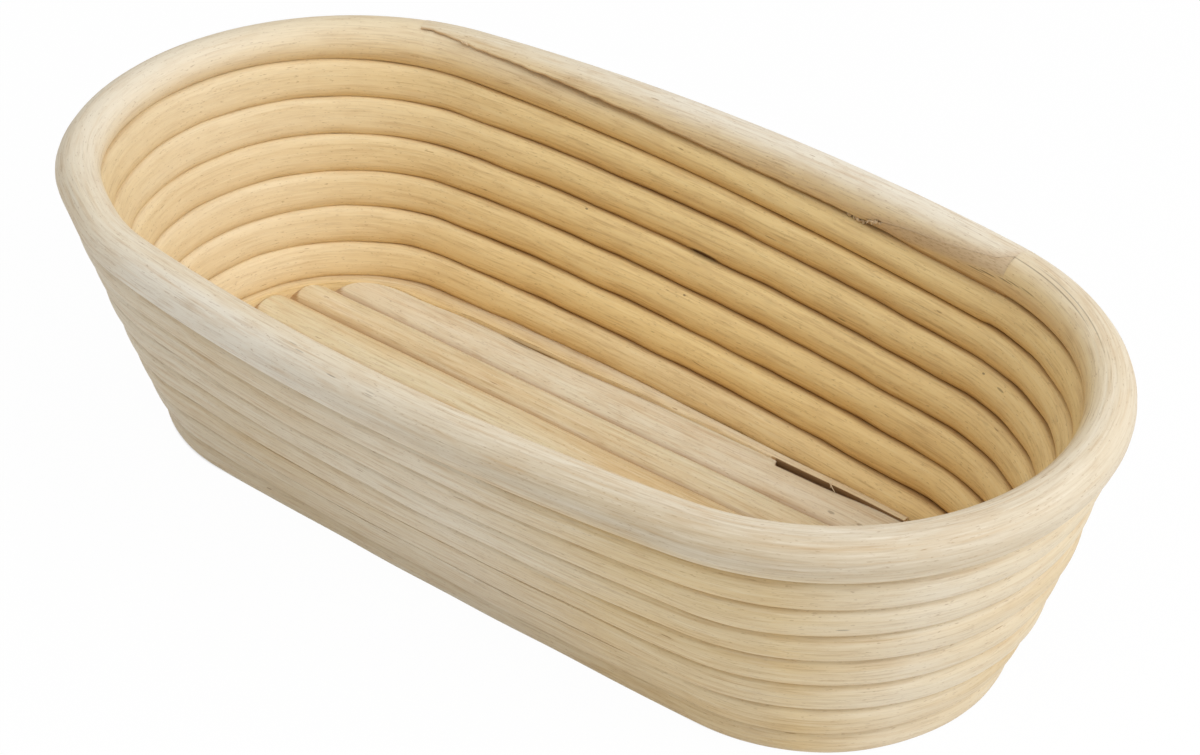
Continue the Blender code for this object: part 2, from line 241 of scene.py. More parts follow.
def wander(length, size, shortest, longest):
    """A smooth random offset along a cane: a sum of six sine waves with random phases."""
    waves = 2 * math.pi / np.geomspace(shortest, longest, WAVES)
    phases = RANDOM.uniform(0, 2 * math.pi, WAVES)
    return size * np.mean(np.sin(length[:, None] * waves + phases), axis=1) * WAVE_SIZE


def run_length(centre):
    """Distance along a path of points."""
    return np.concatenate([[0], np.cumsum(np.linalg.norm(np.diff(centre, axis=0), axis=1))])


def section(squareness_out, squareness_in, squareness_under):
    """Unit superellipse: |x| to the power m plus |y| to the power m is 1, seen from its angles,
    with one power on the outer side, one on the inner and one on the inner side below the middle.
    The first point is at the bottom."""
    angle = -math.pi / 2 + 2 * math.pi * np.arange(SIDES) / SIDES
    side, rise = np.cos(angle)[None, :], np.sin(angle)[None, :]
    outer, inner, under = (np.reshape(power, (-1, 1)) for power in
                           (squareness_out, squareness_in, squareness_under))
    power = np.where(side > 0, outer, np.where(rise > 0, inner, under))
    size = (np.abs(side) ** power + np.abs(rise) ** power) ** (-1 / power)
    return side * size, rise * size


def planed_circle(radius, flat):
    """Side and rise of a circle cut off above a flat: from the bottom up the outer arc to where it
    meets the flat, along the chord, and down the inner arc."""
    outer = (SIDES - CHORD_POINTS + 1) // 2
    inner = SIDES - CHORD_POINTS - outer
    corner = np.arcsin(np.clip(flat / radius, LOWEST_FLAT, HIGHEST_FLAT))[:, None]
    swing = corner + math.pi / 2
    out_arc = -math.pi / 2 + swing * np.linspace(0, 1, outer)
    in_arc = math.pi - corner + swing * np.linspace(0, 1, inner + 1)[:-1]
    chord = np.cos(corner) * np.linspace(1, -1, CHORD_POINTS + 2)[1:-1]
    side = np.concatenate([np.cos(out_arc), chord, np.cos(in_arc)], axis=1)
    rise = np.concatenate([np.sin(out_arc), np.sin(corner) + 0 * chord, np.sin(in_arc)], axis=1)
    return side * radius[:, None], rise * radius[:, None]


def ring_directions(centre, up):
    """Across and up at each ring, square to the path."""
    along = np.gradient(centre, axis=0)
    across = np.cross(along, up)
    across /= np.linalg.norm(across, axis=1)[:, None]
    square_up = np.cross(across, along)
    return across, square_up / np.linalg.norm(square_up, axis=1)[:, None]


def tube_points(centre, up, side, rise):
    """Points of a tube: each ring's centre, plus side times across, plus rise times up."""
    across, square_up = ring_directions(centre, up)
    return centre[:, None] + side[..., None] * across[:, None] + rise[..., None] * square_up[:, None]


# %% Meshes and attributes
SHARP_ANGLE = math.radians(50)


def tube_faces(rings, sides):
    """Quads between neighbouring rings, and a cap at each end, all facing out."""
    ring = np.arange(rings - 1)[:, None] * sides
    side = np.arange(sides)[None, :]
    after = (side + 1) % sides
    quads = np.stack([ring + side, ring + sides + side, ring + sides + after, ring + after], axis=-1)
    caps = [list(range(sides)), list(range(rings * sides - 1, (rings - 1) * sides - 1, -1))]
    return quads.reshape(-1, 4).tolist() + caps


def new_piece(name, points, attributes):
    """A smooth tube mesh from a grid of points, with its named point attributes."""
    rings, sides, _ = points.shape
    mesh = bpy.data.meshes.new(name)
    mesh.from_pydata(points.reshape(-1, 3).tolist(), [], tube_faces(rings, sides))
    for key, values in attributes.items():
        vector = values.ndim == 3
        layer = mesh.attributes.new(key, "FLOAT_VECTOR" if vector else "FLOAT", "POINT")
        layer.data.foreach_set("vector" if vector else "value", values.astype(np.float32).ravel())
    mesh.shade_smooth()
    mesh.set_sharp_from_angle(angle=SHARP_ANGLE)
    piece = bpy.data.objects.new(name, mesh)
    bpy.context.scene.collection.objects.link(piece)
    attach(piece, "root")
    print(f"{name}: {len(mesh.polygons)} faces")
    return piece


def cane_attributes(length, side, rise, **others):
    """Place of every point in the straightened cane, and other attributes by their names."""
    shape = side.shape
    place = np.stack([np.broadcast_to(length[:, None], shape), side, rise], axis=-1)
    spread = {key: np.broadcast_to(value, shape) * 1.0 for key, value in others.items()}
    return {"cane": place, **spread}


# %% [markdown]
# ## The wound cane
# Each turn reaches up to the middle between its own centre and the next turn's, and down in the
# same way, so that neighbours always meet however the wall flares. Round tubes would be simpler,
# but would leave slits wherever a turn climbs. The lowest turn is planed level with the floor, and
# everything is cut flat where it stands on the table. The winding ends in the rim, in a long
# slanting cut: a scarf joint.

# %% Reach of each turn
ARC_RINGS = (72, 70, 60, 70)
PRESSED, OVERLAP = 0.00012, 1.05
LEFT_LIFT, LIFTED_ABOVE, LEFT_END = 0.14, 3, (1.5, 0.5)


def turn_stations(steps):
    """Stations of one whole turn, with a number of steps in each arc."""
    return np.concatenate([arc + np.arange(count) / count for arc, count in enumerate(steps)])


def meeting(lower, station, low_r, high_r):
    """Share of the way between two turns' centres at which they meet: in the ratio of their radii,
    and higher at the left end, the more so the nearer to the rim."""
    lifted = LEFT_LIFT * max(lower - LIFTED_ABOVE, 0) / (TOP_LEVEL - 1 - LIFTED_ABOVE)
    return low_r / (low_r + high_r) + lifted * hump(station, *LEFT_END)


def turn_reach(turn, station):
    """Centre, direction up the wall, radius, and reach up and down of a turn's section.
    Neighbours meet with a small overlap. The lowest turn and the underside of the second stay round,
    because one starts beside the other."""
    centre, _, radius = winding(turn, station)
    up = wall_up(turn_level(turn, station), station)
    if turn == 0:
        up = np.array([0, 0, 1.0]) + (up - [0, 0, 1.0]) * smooth(station - 3)[:, None]
    reach_up, reach_down = radius + TURN_GAP / 2 + PRESSED, radius + TURN_GAP / 2 + PRESSED
    if turn == 0:
        to_table = np.maximum(reach_down, centre[:, 2])
        reach_down = np.where(station < FIRST_RAMP_END, to_table, reach_down)
    if 0 < turn < TOP_LEVEL:
        other, _, other_r = winding(turn + 1, station)
        share = meeting(turn, station, radius, other_r)
        reach_up = np.sum((other - centre) * up, axis=1) * share * OVERLAP
    if turn > 1:
        other, _, other_r = winding(turn - 1, station)
        share = 1 - meeting(turn - 1, station, other_r, radius)
        reach_down = np.sum((centre - other) * up, axis=1) * share * OVERLAP
    return centre, up, radius, reach_up, reach_down


wall_station = turn_stations(ARC_RINGS)
wall_parts = [turn_reach(turn, wall_station) for turn in range(TOP_LEVEL)]
wall_centre, wall_dir, wall_r, wall_top, wall_base = map(np.concatenate, zip(*wall_parts))
wall_turn = np.repeat(np.arange(TOP_LEVEL), len(wall_station))
print(len(wall_centre), "rings below the rim")

# %% The scarf joint's slope
SCARF_FROM, SCARF_TO = -0.024, 0.245
SCARF_STATION = (SCARF_FROM, 0.0, 0.05, 0.1, 0.16, 0.2, 0.235, SCARF_TO)
SCARF_RISE = (0.80, 0.45, 0.18, -0.05, -0.23, -0.42, -0.78, -0.97)


def scarf_height(station):
    """Height of the joint above the rim's centre, in shares of its radius: a slope from the top
    of the rim at one end, which flattens and then drops to the underside at the other."""
    return RIM_R * np.interp(station, SCARF_STATION, SCARF_RISE)


# %% The rim's turn
SEAM, SCARF_CLEAR = 0.00005, 0.0002
TALLER_FROM = (0.8, 0.25)
RIM_SANDED_STATION = (0.0, 1.2, 1.5, 1.85, 2.3, 3.0, 3.9, 4.0)
RIM_SANDED = (2.0, 2.0, 1.25, 1.3, 2.4, 2.3, 2.0, 2.0)
rim_ends = 4 + SCARF_FROM
rim_station = np.append(wall_station[wall_station < rim_ends], rim_ends - SCARF_CLEAR)
rim_centre, rim_dir, rim_r, _, rim_base = turn_reach(TOP_LEVEL, rim_station)
level_centre, level_dir = rim_line(rim_station)
rim_above = np.sum((level_centre - rim_centre) * level_dir, axis=1)
touching = rim_r + TURN_GAP / 2 * (1 - np.clip(rim_station / CLOSING_END, 0, 1))
taller = 1 + ((rim_above + RIM_R) / touching - 1) * ramp(rim_station, *TALLER_FROM)
lying = rim_above + rim_seat(rim_station) - SEAM
rim_flat = np.where(rim_station < CLOSING_END, lying / taller, RIM_R)
rim_side, rim_rise = planed_circle(touching, rim_flat)
fuller = np.interp(rim_station, RIM_SANDED_STATION, RIM_SANDED)[:, None]
unit_side, unit_rise = np.abs(rim_side / touching[:, None]), np.abs(rim_rise / touching[:, None])
filled = (unit_side ** fuller + unit_rise ** fuller) ** (-1 / fuller)
filled = np.where((rim_side > 0) & (rim_rise < 0), filled, 1)
rim_side, rim_rise = rim_side * filled, rim_rise * filled
rim_rise = rim_rise * np.where(rim_rise < 0, (rim_base / touching)[:, None], taller[:, None])
print(len(rim_station), "rings in the rim's turn")

# %% The tail of the rim in the joint
TAIL_RINGS, TAIL_CLEAR = 60, 0.001
TAIL_DEEPER, DEEPER_TO = 0.0012, (0.12, 0.1)
tail_station = np.linspace(SCARF_FROM + TAIL_CLEAR, SCARF_TO, TAIL_RINGS)
tail_centre, tail_dir = rim_line(tail_station)
tail_side, tail_rise = planed_circle(np.full(TAIL_RINGS, RIM_R), scarf_height(tail_station) - SEAM)
settled = TAIL_DEEPER * (1 - ramp(tail_station, *DEEPER_TO))[:, None]
tail_rise = tail_rise - settled * np.clip(-tail_rise / RIM_R, 0, 1) ** 3
print(f"the joint runs over {np.linalg.norm(tail_centre[-1] - tail_centre[0]) * 1000:.0f} mm")

# %% [markdown]
# ## The rings of the coil
# A cane that is wound by hand is never quite even. Every ring of the wall is moved by a fraction
# of a millimetre, and swells a little. Noise would do too, but a few sine waves with seeded phases
# change slowly and are the same in every run. At the left front corner the rim is pressed in.

# %% Rings of the whole coil
FREE_END = 0.1
LIFT_WANDER, SIDE_WANDER, SWELL_WANDER = (0.00012, 0.03, 0.14), (0.00020, 0.04, 0.2), (0.012, 0.03, 0.2)
DENT, DENT_OUTER, DENT_PLACE = 0.0011, 0.18, (1.875, 0.085)
centre = np.concatenate([wall_centre, rim_centre, tail_centre])
up = np.concatenate([wall_dir, rim_dir, tail_dir])
length = run_length(centre)
walls = len(wall_centre)
around = np.tile(wall_station, TOP_LEVEL)
turn_place = wall_turn + around / 4
station = np.concatenate([around, rim_station, np.zeros(TAIL_RINGS)])
on_rim = np.arange(len(station)) >= walls
free = 1 - ramp(length - length[walls], -FREE_END, FREE_END)
across, _ = ring_directions(centre, up)
centre = centre + up * (free * wander(length, *LIFT_WANDER))[:, None]
centre = centre + across * (free * wander(length, *SIDE_WANDER))[:, None]
dented = on_rim * hump(station, *DENT_PLACE)
centre = centre - across * (DENT * dented)[:, None]
swell = 1 + (free * wander(length, *SWELL_WANDER))[:walls]
wall_x, wall_y = centre[:walls, 0], centre[:walls, 1]
print(f"the cane is {length[-1]:.2f} m long in {len(length)} rings")

# %% [markdown]
# ## The sections of the coil
# The outside was sanded, most of all low on the front, where it is almost flat. The inside is
# rounder, and roundest below. A sculpted wall could show this too, but one power for each part of
# the superellipse says it in a few numbers. The lowest turn lies planed beside the floor, and its
# lower outer side is the basket's rounded foot.

# %% Sections of the wall
LOW_TO, TUCKED_TO, HIGHER_FROM = (0.75, 0.25), (0.27, 0.06), (1.5, 2.5)
SANDED_STATION = (0.0, 1.7, 2.05, 2.3, 2.8, 3.1, 3.6, 4.0)
SANDED_LOW = (3.0, 2.3, 5.0, 12.0, 12.0, 4.6, 2.3, 2.6)
SANDED_HIGH = (3.0, 2.2, 3.4, 4.2, 4.2, 3.6, 2.3, 2.6)
INNER_STATION, INNER = (0.0, 0.8, 1.3, 1.9, 2.3, 4.0), (2.3, 2.4, 4.4, 4.4, 2.4, 2.3)
INNER_ABOVE, INNER_BELOW, INNER_WANDER = 1.15, 0.74, (0.16, 0.015, 0.12)
PLANED_OUT, PLANED_OUT_SHARE, PLANED_IN = 2.4, 0.5, 6.0
GROOVE_SHADE_ABOVE, GROOVE_SHADE_BELOW, FOOT_ROUND = 8.0, 2.2, 2.1
lying_low = 1 - ramp(turn_place, *LOW_TO)
tucked = 1 - ramp(turn_place, *TUCKED_TO)
higher = ramp(turn_place, *HIGHER_FROM)
sanded = (np.interp(around, SANDED_STATION, SANDED_LOW) * (1 - higher)
          + np.interp(around, SANDED_STATION, SANDED_HIGH) * higher)
outer_power = sanded + (PLANED_OUT - sanded) * PLANED_OUT_SHARE * lying_low * (1 - tucked)
inner_power = np.interp(around, INNER_STATION, INNER) * (1 + wander(length, *INNER_WANDER)[:walls])
inner_power = inner_power + (PLANED_IN - inner_power) * lying_low
side, rise = section(outer_power, inner_power * INNER_ABOVE, inner_power * INNER_BELOW)
# Where the painted groove shade goes: a narrow band on each turn's upper side, a wider one on its
# underside, none on the upper side of the lowest turn.
groove = np.abs(rise) ** np.where(rise < 0, GROOVE_SHADE_BELOW, GROOVE_SHADE_ABOVE)
groove = groove * (1 - lying_low[:, None] * (rise > 0))
rounded = (np.abs(side) ** FOOT_ROUND + np.abs(rise) ** FOOT_ROUND) ** (-1 / FOOT_ROUND)
rounded = np.where((side > 0) & (rise < 0) & (turn_place < 1)[:, None], rounded, 1)
side, rise = side * rounded, rise * rounded
print(f"powers on the outside from {outer_power.min():.1f} to {outer_power.max():.1f}")

# %% [markdown]
# ## Where the wall meets the floor
# The winding starts as a thin sliver along the back edge of the floor, and only later has its full
# width. Letting the two overlap would be simpler, but then the seam would wander. So both follow
# one formula of that edge, and the sliver stands back at the noses of the floor canes. On the
# outside, the wall bulges a little at its right end and is drawn in at its left.

# %% The floor's back edge
FLOOR_TOP, FLOOR_BACK = 0.0081, 0.0369
BACK_GROWS, BACK_RAMP = 0.0013, (-0.03, 0.05)
TORN_FROM = 0.0373
SLIT_FROM, SLIT_TO, SLIT_WIDTH, SLIT_BACK = -0.051, -0.0345, 0.0002, 0.0001


def floor_back(x):
    """Y of the floor's back edge: straight on the left, and a little further back on the right."""
    return FLOOR_BACK + BACK_GROWS * ramp(x, *BACK_RAMP)


def in_slit(x, soft):
    """1 along a short open slit at that edge, eased to 0 at its ends."""
    return ramp(x, SLIT_FROM, soft) * (1 - ramp(x, SLIT_TO, soft))


print(f"back edge at {floor_back(SLIT_FROM) * 1000:.1f} and {floor_back(TORN_FROM) * 1000:.1f} mm")

# %% Reach of the wall, outward and to the floor
FULL_OUT, SANDED_OFF, SANDED_AT = 1.03, 0.05, 4
OUTER_STATION = (0.0, 1.1, 1.4, 1.9, 2.2, 3.3, 3.55, 3.9, 4.0)
OUTER_LEFT = (0.0, 0.0, -0.2, -0.2, 0.0, 0.0, 0.0, 0.0, 0.0)
OUTER_RIGHT = (0.0, 0.0, 0.0, 0.0, 0.0, 0.0, 0.3, 0.3, 0.0)
LEFT_FROM, HALFWAY_FROM, HALFWAY_TO = (0.3, 0.7), (0.8, 2.2), (4.5, 2.2)
THINNEST_SLIVER, SLIVER_TO, BACK_SIDE = 0.3, (0.22, 0.04), 0.25
TUCK_OUT, SLIT_SOFT = 0.0018, 0.004
NOSE_ROOM, NOSES_FROM, NOSES_TO = 0.0028, (0.24, 0.05), (0.47, 0.05)
reach_out = wall_r * (FULL_OUT - SANDED_OFF * smooth(sanded / SANDED_AT - 1)) * swell
halfway = ramp(turn_place, *HALFWAY_FROM) * (1 - ramp(turn_place, *HALFWAY_TO))
outward = reach_out * (1 + np.interp(around, OUTER_STATION, OUTER_LEFT) * ramp(turn_place, *LEFT_FROM)
                       + np.interp(around, OUTER_STATION, OUTER_RIGHT) * halfway)
sliver = np.maximum(wall_y - floor_back(wall_x), THINNEST_SLIVER * reach_out)
sliver = np.where(turn_place < sum(SLIVER_TO), sliver, reach_out)
to_floor = reach_out + (sliver - reach_out) * (1 - ramp(turn_place, *SLIVER_TO))
at_noses = ramp(turn_place, *NOSES_FROM) * (1 - ramp(turn_place, *NOSES_TO))
slit = in_slit(wall_x, SLIT_SOFT) * (turn_place < BACK_SIDE)
to_floor = to_floor - NOSE_ROOM * at_noses - SLIT_BACK * slit
side = side * np.where(side > 0, (outward + TUCK_OUT * tucked)[:, None], to_floor[:, None])
rise = np.where(rise > 0, rise * wall_top[:, None], rise * wall_base[:, None])
print(f"the thin start is {to_floor.min() * 1000:.1f} mm wide on its inner side")

# %% The coil as one surface
PLANED_RISE, PLANED_RAMP, NO_PLANE = 0.007, (0.82, 0.18), 1.0
side = np.concatenate([side, rim_side, tail_side])
side = side * np.where(side > 0, 1 - DENT_OUTER * dented[:, None], 1)
rise = np.concatenate([rise, rim_rise, tail_rise])
points = tube_points(centre, up, side, rise)
planed = FLOOR_TOP + PLANED_RISE * ramp(turn_place, *PLANED_RAMP)
planed = np.where(wall_turn == 0, planed, NO_PLANE)
points[:walls, :, 2] = np.minimum(points[:walls, :, 2], planed[:, None])
points[..., 2] = np.maximum(points[..., 2], 0)
print(f"the coil is {np.ptp(points[..., 2]) * 1000:.1f} mm high")

# %% [markdown]
# ## The tones of the winding
# The inside of the basket is golden. The sanded outside is pale, with greyer stretches on the rim,
# and the grooves are dark. Part of this is painted light and shade: some of the rim's paler stretches
# are painted highlight and its grey ones painted shade, the golden turns go amber below as painted
# bounce light, and grooves and gaps get painted shade. This could be painted by hand, point by point.
# Humps and ramps of the station and of the place in the section give the same slow changes, and
# they go into the mesh as attributes.

# %% Golden inside
RIM_PALE, RIM_WARMER, RIM_WARM_PLACE = (0.5, 0.6), 0.35, (1.15, 0.28)
GOLD_EDGE, GOLD_LOWERED, GOLD_RISE = 0.35, 0.4, 0.9
LOWERED_FROM, LOWERED_TO, LOWERED_OVER = (3.3, 0.4), 0.3, 0.1
LEFT_TONE, LEFT_LOW, LEFT_GOLD_LESS = (1.5, 0.45), 0.8, 0.6
LOW_GOLD_LESS, SLIVER_GOLD_LESS, SLIVER_GOLD = 0.15, 0.2, 0.45
SECOND_GOLD_LESS, SECOND_PLACE = 0.35, (1.12, 0.09)
FRONT_GOLD, FRONT_GOLD_PLACE = 0.4, (3.02, 0.2)
inside, outside = smooth(0.5 - side / RIM_R), smooth(0.5 + side / RIM_R)
rim_pale = ramp(rim_station, *RIM_PALE) * (1 - RIM_WARMER * hump(rim_station, *RIM_WARM_PLACE))
rim_pale = np.concatenate([np.zeros(walls), rim_pale, np.ones(TAIL_RINGS)])[:, None]
lowered = ramp(station, *LOWERED_FROM) + smooth((LOWERED_TO - station) / LOWERED_OVER)
gold_edge = GOLD_EDGE - GOLD_LOWERED * lowered[:, None]
inner = inside * (1 - rim_pale * smooth(gold_edge + GOLD_RISE * rise / RIM_R))
at_left = hump(station, *LEFT_TONE)[:, None]
at_left[:walls] *= 1 - LEFT_LOW * lying_low[:, None]
low_less = LOW_GOLD_LESS * lying_low * (1 - tucked) + SLIVER_GOLD_LESS * lying_low * tucked
inner[:walls] *= 1 - low_less[:, None]
inner[:walls] += (SLIVER_GOLD * inside[:walls] - inner[:walls]) * tucked[:, None]
inner[:walls] *= 1 - SECOND_GOLD_LESS * hump(turn_place, *SECOND_PLACE)[:, None]
inner *= 1 - LEFT_GOLD_LESS * at_left
inner[:walls] += FRONT_GOLD * (outside * hump(station, *FRONT_GOLD_PLACE)[:, None])[:walls]
print(f"golden up to {inner.max():.2f}")

# %% Pale outside, painted light and shade on the rim, and calm
DRIFT_STATION = (0.0, 0.5, 1.0, 1.9, 2.2, 2.6, 2.9, 3.1, 3.3, 3.55, 4.0)
WALL_DRIFT = (0.2, 0.4, 0.1, 0.7, 0.3, 0.8, -0.3, -0.5, 0.8, 0.0, 0.2)
RIM_LIGHT_AND_SHADE = (0.5, 0.7, 0.2, 0.1, 1.6, 0.0, -0.9, -0.9, -0.4, 0.0, 0.0)
RIM_PAINTED_SHADE = (0.0, 0.0, 0.14, 0.0, 0.0, 0.26, 0.36, 0.42, 0.4, 0.24, 0.05)
GOLD_HIDES, HIGHER_PALE, LEFT_PALE, LOW_PALE = 0.6, 0.5, 0.6, 0.1
RIM_SHADE_SIDE, RIM_SHADE_RISE = 0.9, 0.7
CALM_RIGHT, CALM_PLACE = 0.7, (3.5, 0.35)
RIM_GOLD, RIM_GOLD_PLACE = 0.4, (1.2, 0.3)
up_wall = np.concatenate([turn_place / TURNS, np.ones(len(centre) - walls)])[:, None]
# On the rim the drift is painted light and shade: paler as painted highlight at the back and the front
# left, and grey as painted shade, below zero, along the front right. On the wall it is the cane's own
# tone.
drift = np.where(on_rim, np.interp(station, DRIFT_STATION, RIM_LIGHT_AND_SHADE),
                 np.interp(station, DRIFT_STATION, WALL_DRIFT))[:, None]
pale = (rim_pale * (1 - GOLD_HIDES * inner) + HIGHER_PALE * up_wall * outside * (1 - rim_pale)
        + drift * outside)
pale += LEFT_PALE * at_left * inside
pale[:walls] += LOW_PALE * ((lying_low * (1 - tucked))[:, None] * (side[:walls] < 0))
# Painted shade: the outer, upper side of the rim goes grey, most along its front right.
ash = np.where(on_rim, np.interp(station, DRIFT_STATION, RIM_PAINTED_SHADE), 0)[:, None]
ash = ash * smooth(RIM_SHADE_SIDE + side / RIM_R) * smooth(RIM_SHADE_RISE + rise / RIM_R)
calm = at_left * inside + CALM_RIGHT * outside * hump(station, *CALM_PLACE)[:, None]
inner[walls:] += RIM_GOLD * hump(station, *RIM_GOLD_PLACE)[walls:, None]
print(f"pale from {pale.min():.2f} to {pale.max():.2f}")

# %% Painted shade in grooves, under the rim and in gaps, and bare wood in the joint
RIM_UNDER_SHADE_POWER, GROOVE_SHADE_LEAST, GROOVE_SHADE_AT_BACK = 6, 0.45, 0.55
BACK_TO, BACK_AGAIN, BACK_OVER = 1.35, 3.6, 0.3
FRONT_FROM, FRONT_TO, GROOVE_SHADE_LESS = (1.9, 0.3), (3.2, 0.5), 0.8
GAP_START, GAP_TURN, SLIT_SHOWN, GAP_SHADE_BELOW, GAP_SHADE = TORN_FROM - 0.0005, 0.2, 0.3, 0.0022, 2
PATCH_TOP, PATCH_DROP, PATCH_SOFT, PATCH_SHARE = -0.2, 4.15, 0.0012, 0.75
# Painted groove shade: strongest along the back, weaker on the sanded front outside and on the inner left
# end, where the main lamp lights the grooves.
along_back = smooth((BACK_TO - station) / BACK_OVER) + ramp(station, BACK_AGAIN, BACK_OVER)
# The underside of the rim and of its tail gets painted shade as well.
shade_under_rim = np.clip(-np.concatenate([rim_rise, tail_rise]) / RIM_R, 0, 1) ** RIM_UNDER_SHADE_POWER
groove = np.concatenate([groove, shade_under_rim]) * (GROOVE_SHADE_LEAST + GROOVE_SHADE_AT_BACK * along_back)[:, None]
at_front = ramp(station, *FRONT_FROM) * (1 - ramp(station, *FRONT_TO))
groove *= 1 - GROOVE_SHADE_LESS * at_front[:, None] * (side > 0)
groove *= 1 - GROOVE_SHADE_LESS * at_left * (side < 0)
# Painted dark shade low on the inner side of the wall, beside the torn gap and the slit at the floor's
# back edge.
open_beside = ((wall_x > GAP_START) & (turn_place < GAP_TURN)) | (slit > SLIT_SHOWN)
groove[:walls] += GAP_SHADE * (open_beside[:, None] & (side[:walls] < 0) & (rise[:walls] < GAP_SHADE_BELOW))
patch_low = RIM_R * (PATCH_TOP - PATCH_DROP * (tail_station - SCARF_FROM))[:, None]
tail_patch = PATCH_SHARE * ramp(tail_rise, patch_low, PATCH_SOFT) * (tail_side < 0)
patch = np.concatenate([np.zeros((len(centre) - TAIL_RINGS, SIDES)), tail_patch])
coil_attributes = cane_attributes(length, side, rise, groove=groove, pale=pale, ash=ash, patch=patch,
                                  inner=inner, calm=calm)
coil = new_piece("coil", points, coil_attributes)
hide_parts("coil_cane")

# %% [markdown]
# ## The rim's last length
# The end of the rim is a separate cane. It starts on the slope of the scarf joint. From there its
# underside is planed so that it lies on the turn that climbs below it, and it runs out to a
# torn tip. A boolean could cut it from a whole tube. The planed circle again, upside down and
# planed ring by ring, keeps the faces even and the torn edge crooked.

# %% The closing cane
CLOSING_RINGS = 170
CLOSING_DRIFT_STATION, CLOSING_PALE_AND_HIGHLIGHT = (0.0, 0.2, 0.6, 0.85, 1.1), (1.5, 1.9, 1.8, 0.9, 0.4)
TORN_WANDER, PAST_SCARF = (0.00016, 0.004, 0.03), (SCARF_TO, 0.05)
SHRINK, SHRINK_OVER = 0.012, 0.12
EDGE_SHADE, CLOSING_GOLD_EDGE, BARE_RISE, BARE_TO = 0.0012, 0.1, 0.0022, (0.2, 0.08)
closing_station = np.linspace(SCARF_FROM, CLOSING_END, CLOSING_RINGS)
closing_centre, closing_dir = rim_line(closing_station)
scarf = np.where(closing_station < SCARF_TO, scarf_height(closing_station), -RIM_R)
closing_length = run_length(closing_centre)
past_scarf = ramp(closing_station, *PAST_SCARF)
torn = wander(closing_length, *TORN_WANDER) * past_scarf
flat = np.maximum(rim_seat(np.maximum(closing_station, 0)), scarf) + torn
shrink = 1 - SHRINK * (1 - ramp(closing_station, SCARF_FROM, SHRINK_OVER))
side, rise = planed_circle(RIM_R * shrink, -flat)
side, rise = -side, -rise
above_flat = rise - flat[:, None]
# Painted shade along the lower edge, where the rim's last length lies on the turn below.
groove = past_scarf[:, None] * np.clip(1 - above_flat / EDGE_SHADE, 0, 1) ** 2
inner = smooth(0.5 - side / RIM_R) * (1 - smooth(CLOSING_GOLD_EDGE + GOLD_RISE * rise / RIM_R))
bare = PATCH_SHARE * (1 - ramp(closing_station, *BARE_TO))[:, None] * (side < 0)
bare = bare * (1 - smooth(above_flat / BARE_RISE))
# The rim's last length is a paler cane, made paler still at the back as a painted highlight.
closing_pale = np.interp(closing_station, CLOSING_DRIFT_STATION, CLOSING_PALE_AND_HIGHLIGHT)[:, None]
closing_attributes = cane_attributes(closing_length + length[-1], side, rise, groove=groove,
                                     pale=closing_pale * (1 - GOLD_HIDES * inner), patch=bare, inner=inner)
closing = new_piece("closing", tube_points(closing_centre, closing_dir, side, rise),
                    closing_attributes)
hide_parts("closing_cane")

# %% [markdown]
# ## The floor
# The floor is straight canes, pressed together side by side. Bevelled boxes could stand for them,
# but the tops are crowned and the ends are not square. So each is a squarish section carried along a
# line. At both ends it is drawn in to a rounded nose, and cut at a slant where the lowest turn curves
# past it. The back edge of the last one is torn.

# %% Ends of the floor
SEAT, ROW_OVERLAP, SLANT_STEP = 0.0009, 0.00005, 0.003
EDGE_STEPS = (90, 90, 90, 90)
FLOOR_EDGES = np.array([-39.4, -28.5, -17.6, -6.7, 4.2, 16.0, 25.9, 36.9]) / 1000
FLOOR_CANES = len(FLOOR_EDGES) - 1
row_y = (FLOOR_EDGES[1:] + FLOOR_EDGES[:-1]) / 2
row_half = np.diff(FLOOR_EDGES) / 2 + ROW_OVERLAP


def floor_end(across_y, direction):
    """Where a line along the basket meets the inner side of the lowest turn, on the left or right."""
    line, normal, edge_r = first_line(turn_stations(EDGE_STEPS))
    room = NOSE_ROOM if direction < 0 else 0
    edge = line[:, :2] - (edge_r + SEAT - room)[:, None] * normal
    edge = edge[edge[:, 0] * direction > 0]
    order = np.argsort(edge[:, 1])
    return np.interp(across_y, edge[order, 1], edge[order, 0])


def floor_end_slant(across_y, direction):
    """Slope of that end: its change over a short step to both sides, by the step's length."""
    ahead, behind = (floor_end(across_y + step, direction) for step in (SLANT_STEP, -SLANT_STEP))
    return (ahead - behind) / (2 * SLANT_STEP)


floor_ends = np.array([[floor_end(y, way) for way in (-1, 1)] for y in row_y])
floor_slant = np.array([[floor_end_slant(y, way) for way in (-1, 1)] for y in row_y])
print("floor canes from", (floor_ends * 1000).round(1).tolist(), "mm")

# %% Floor canes
FLOOR_RINGS, UNDER_EDGE, ROW_LENGTH = 190, 0.0025, 0.7
NOSE, NOSE_POWER, NOSE_DROP, NOSE_SOFT, NOSE_DARK = 0.0040, 2.4, 0.0016, 0.0008, 0.0014
NOSE_SHIFT, RIGHT_SHIFT = (0, 0, 0, 0, -0.0013, -0.0020, -0.0033), 0.0010
SLANT_REACH, SLANT_SHARE = 0.012, 0.7
CROWN, BACK_CROWN, CROWN_POWER = 0.0029, 0.0012, 2.1
FLOOR_SQUARENESS, SWAY_WANDER = 6.0, (0.0002, 0.05, 0.3)
FLOOR_PALE = (0.2, 0.5, 0.1, 0.3, 0.0, 0.1, 0.85)
FLOOR_GOLD = (0.2, 0.0, 0.2, 0.0, 0.1, 0.1, 0.0)
FLOOR_VALLEY_SHADE, FLOOR_VALLEY_SHADE_POWER = 0.8, 4
TORN_WIDTH, TORN_STEP, TORN_NARROWING, NARROWING_RAMP = 0.0026, 0.001, 0.5, (0.05, 0.022)
TORN_RINGS = TORN_FROM + np.array([-0.0001, 0.0003, 0.0005, 0.0007, 0.0011])
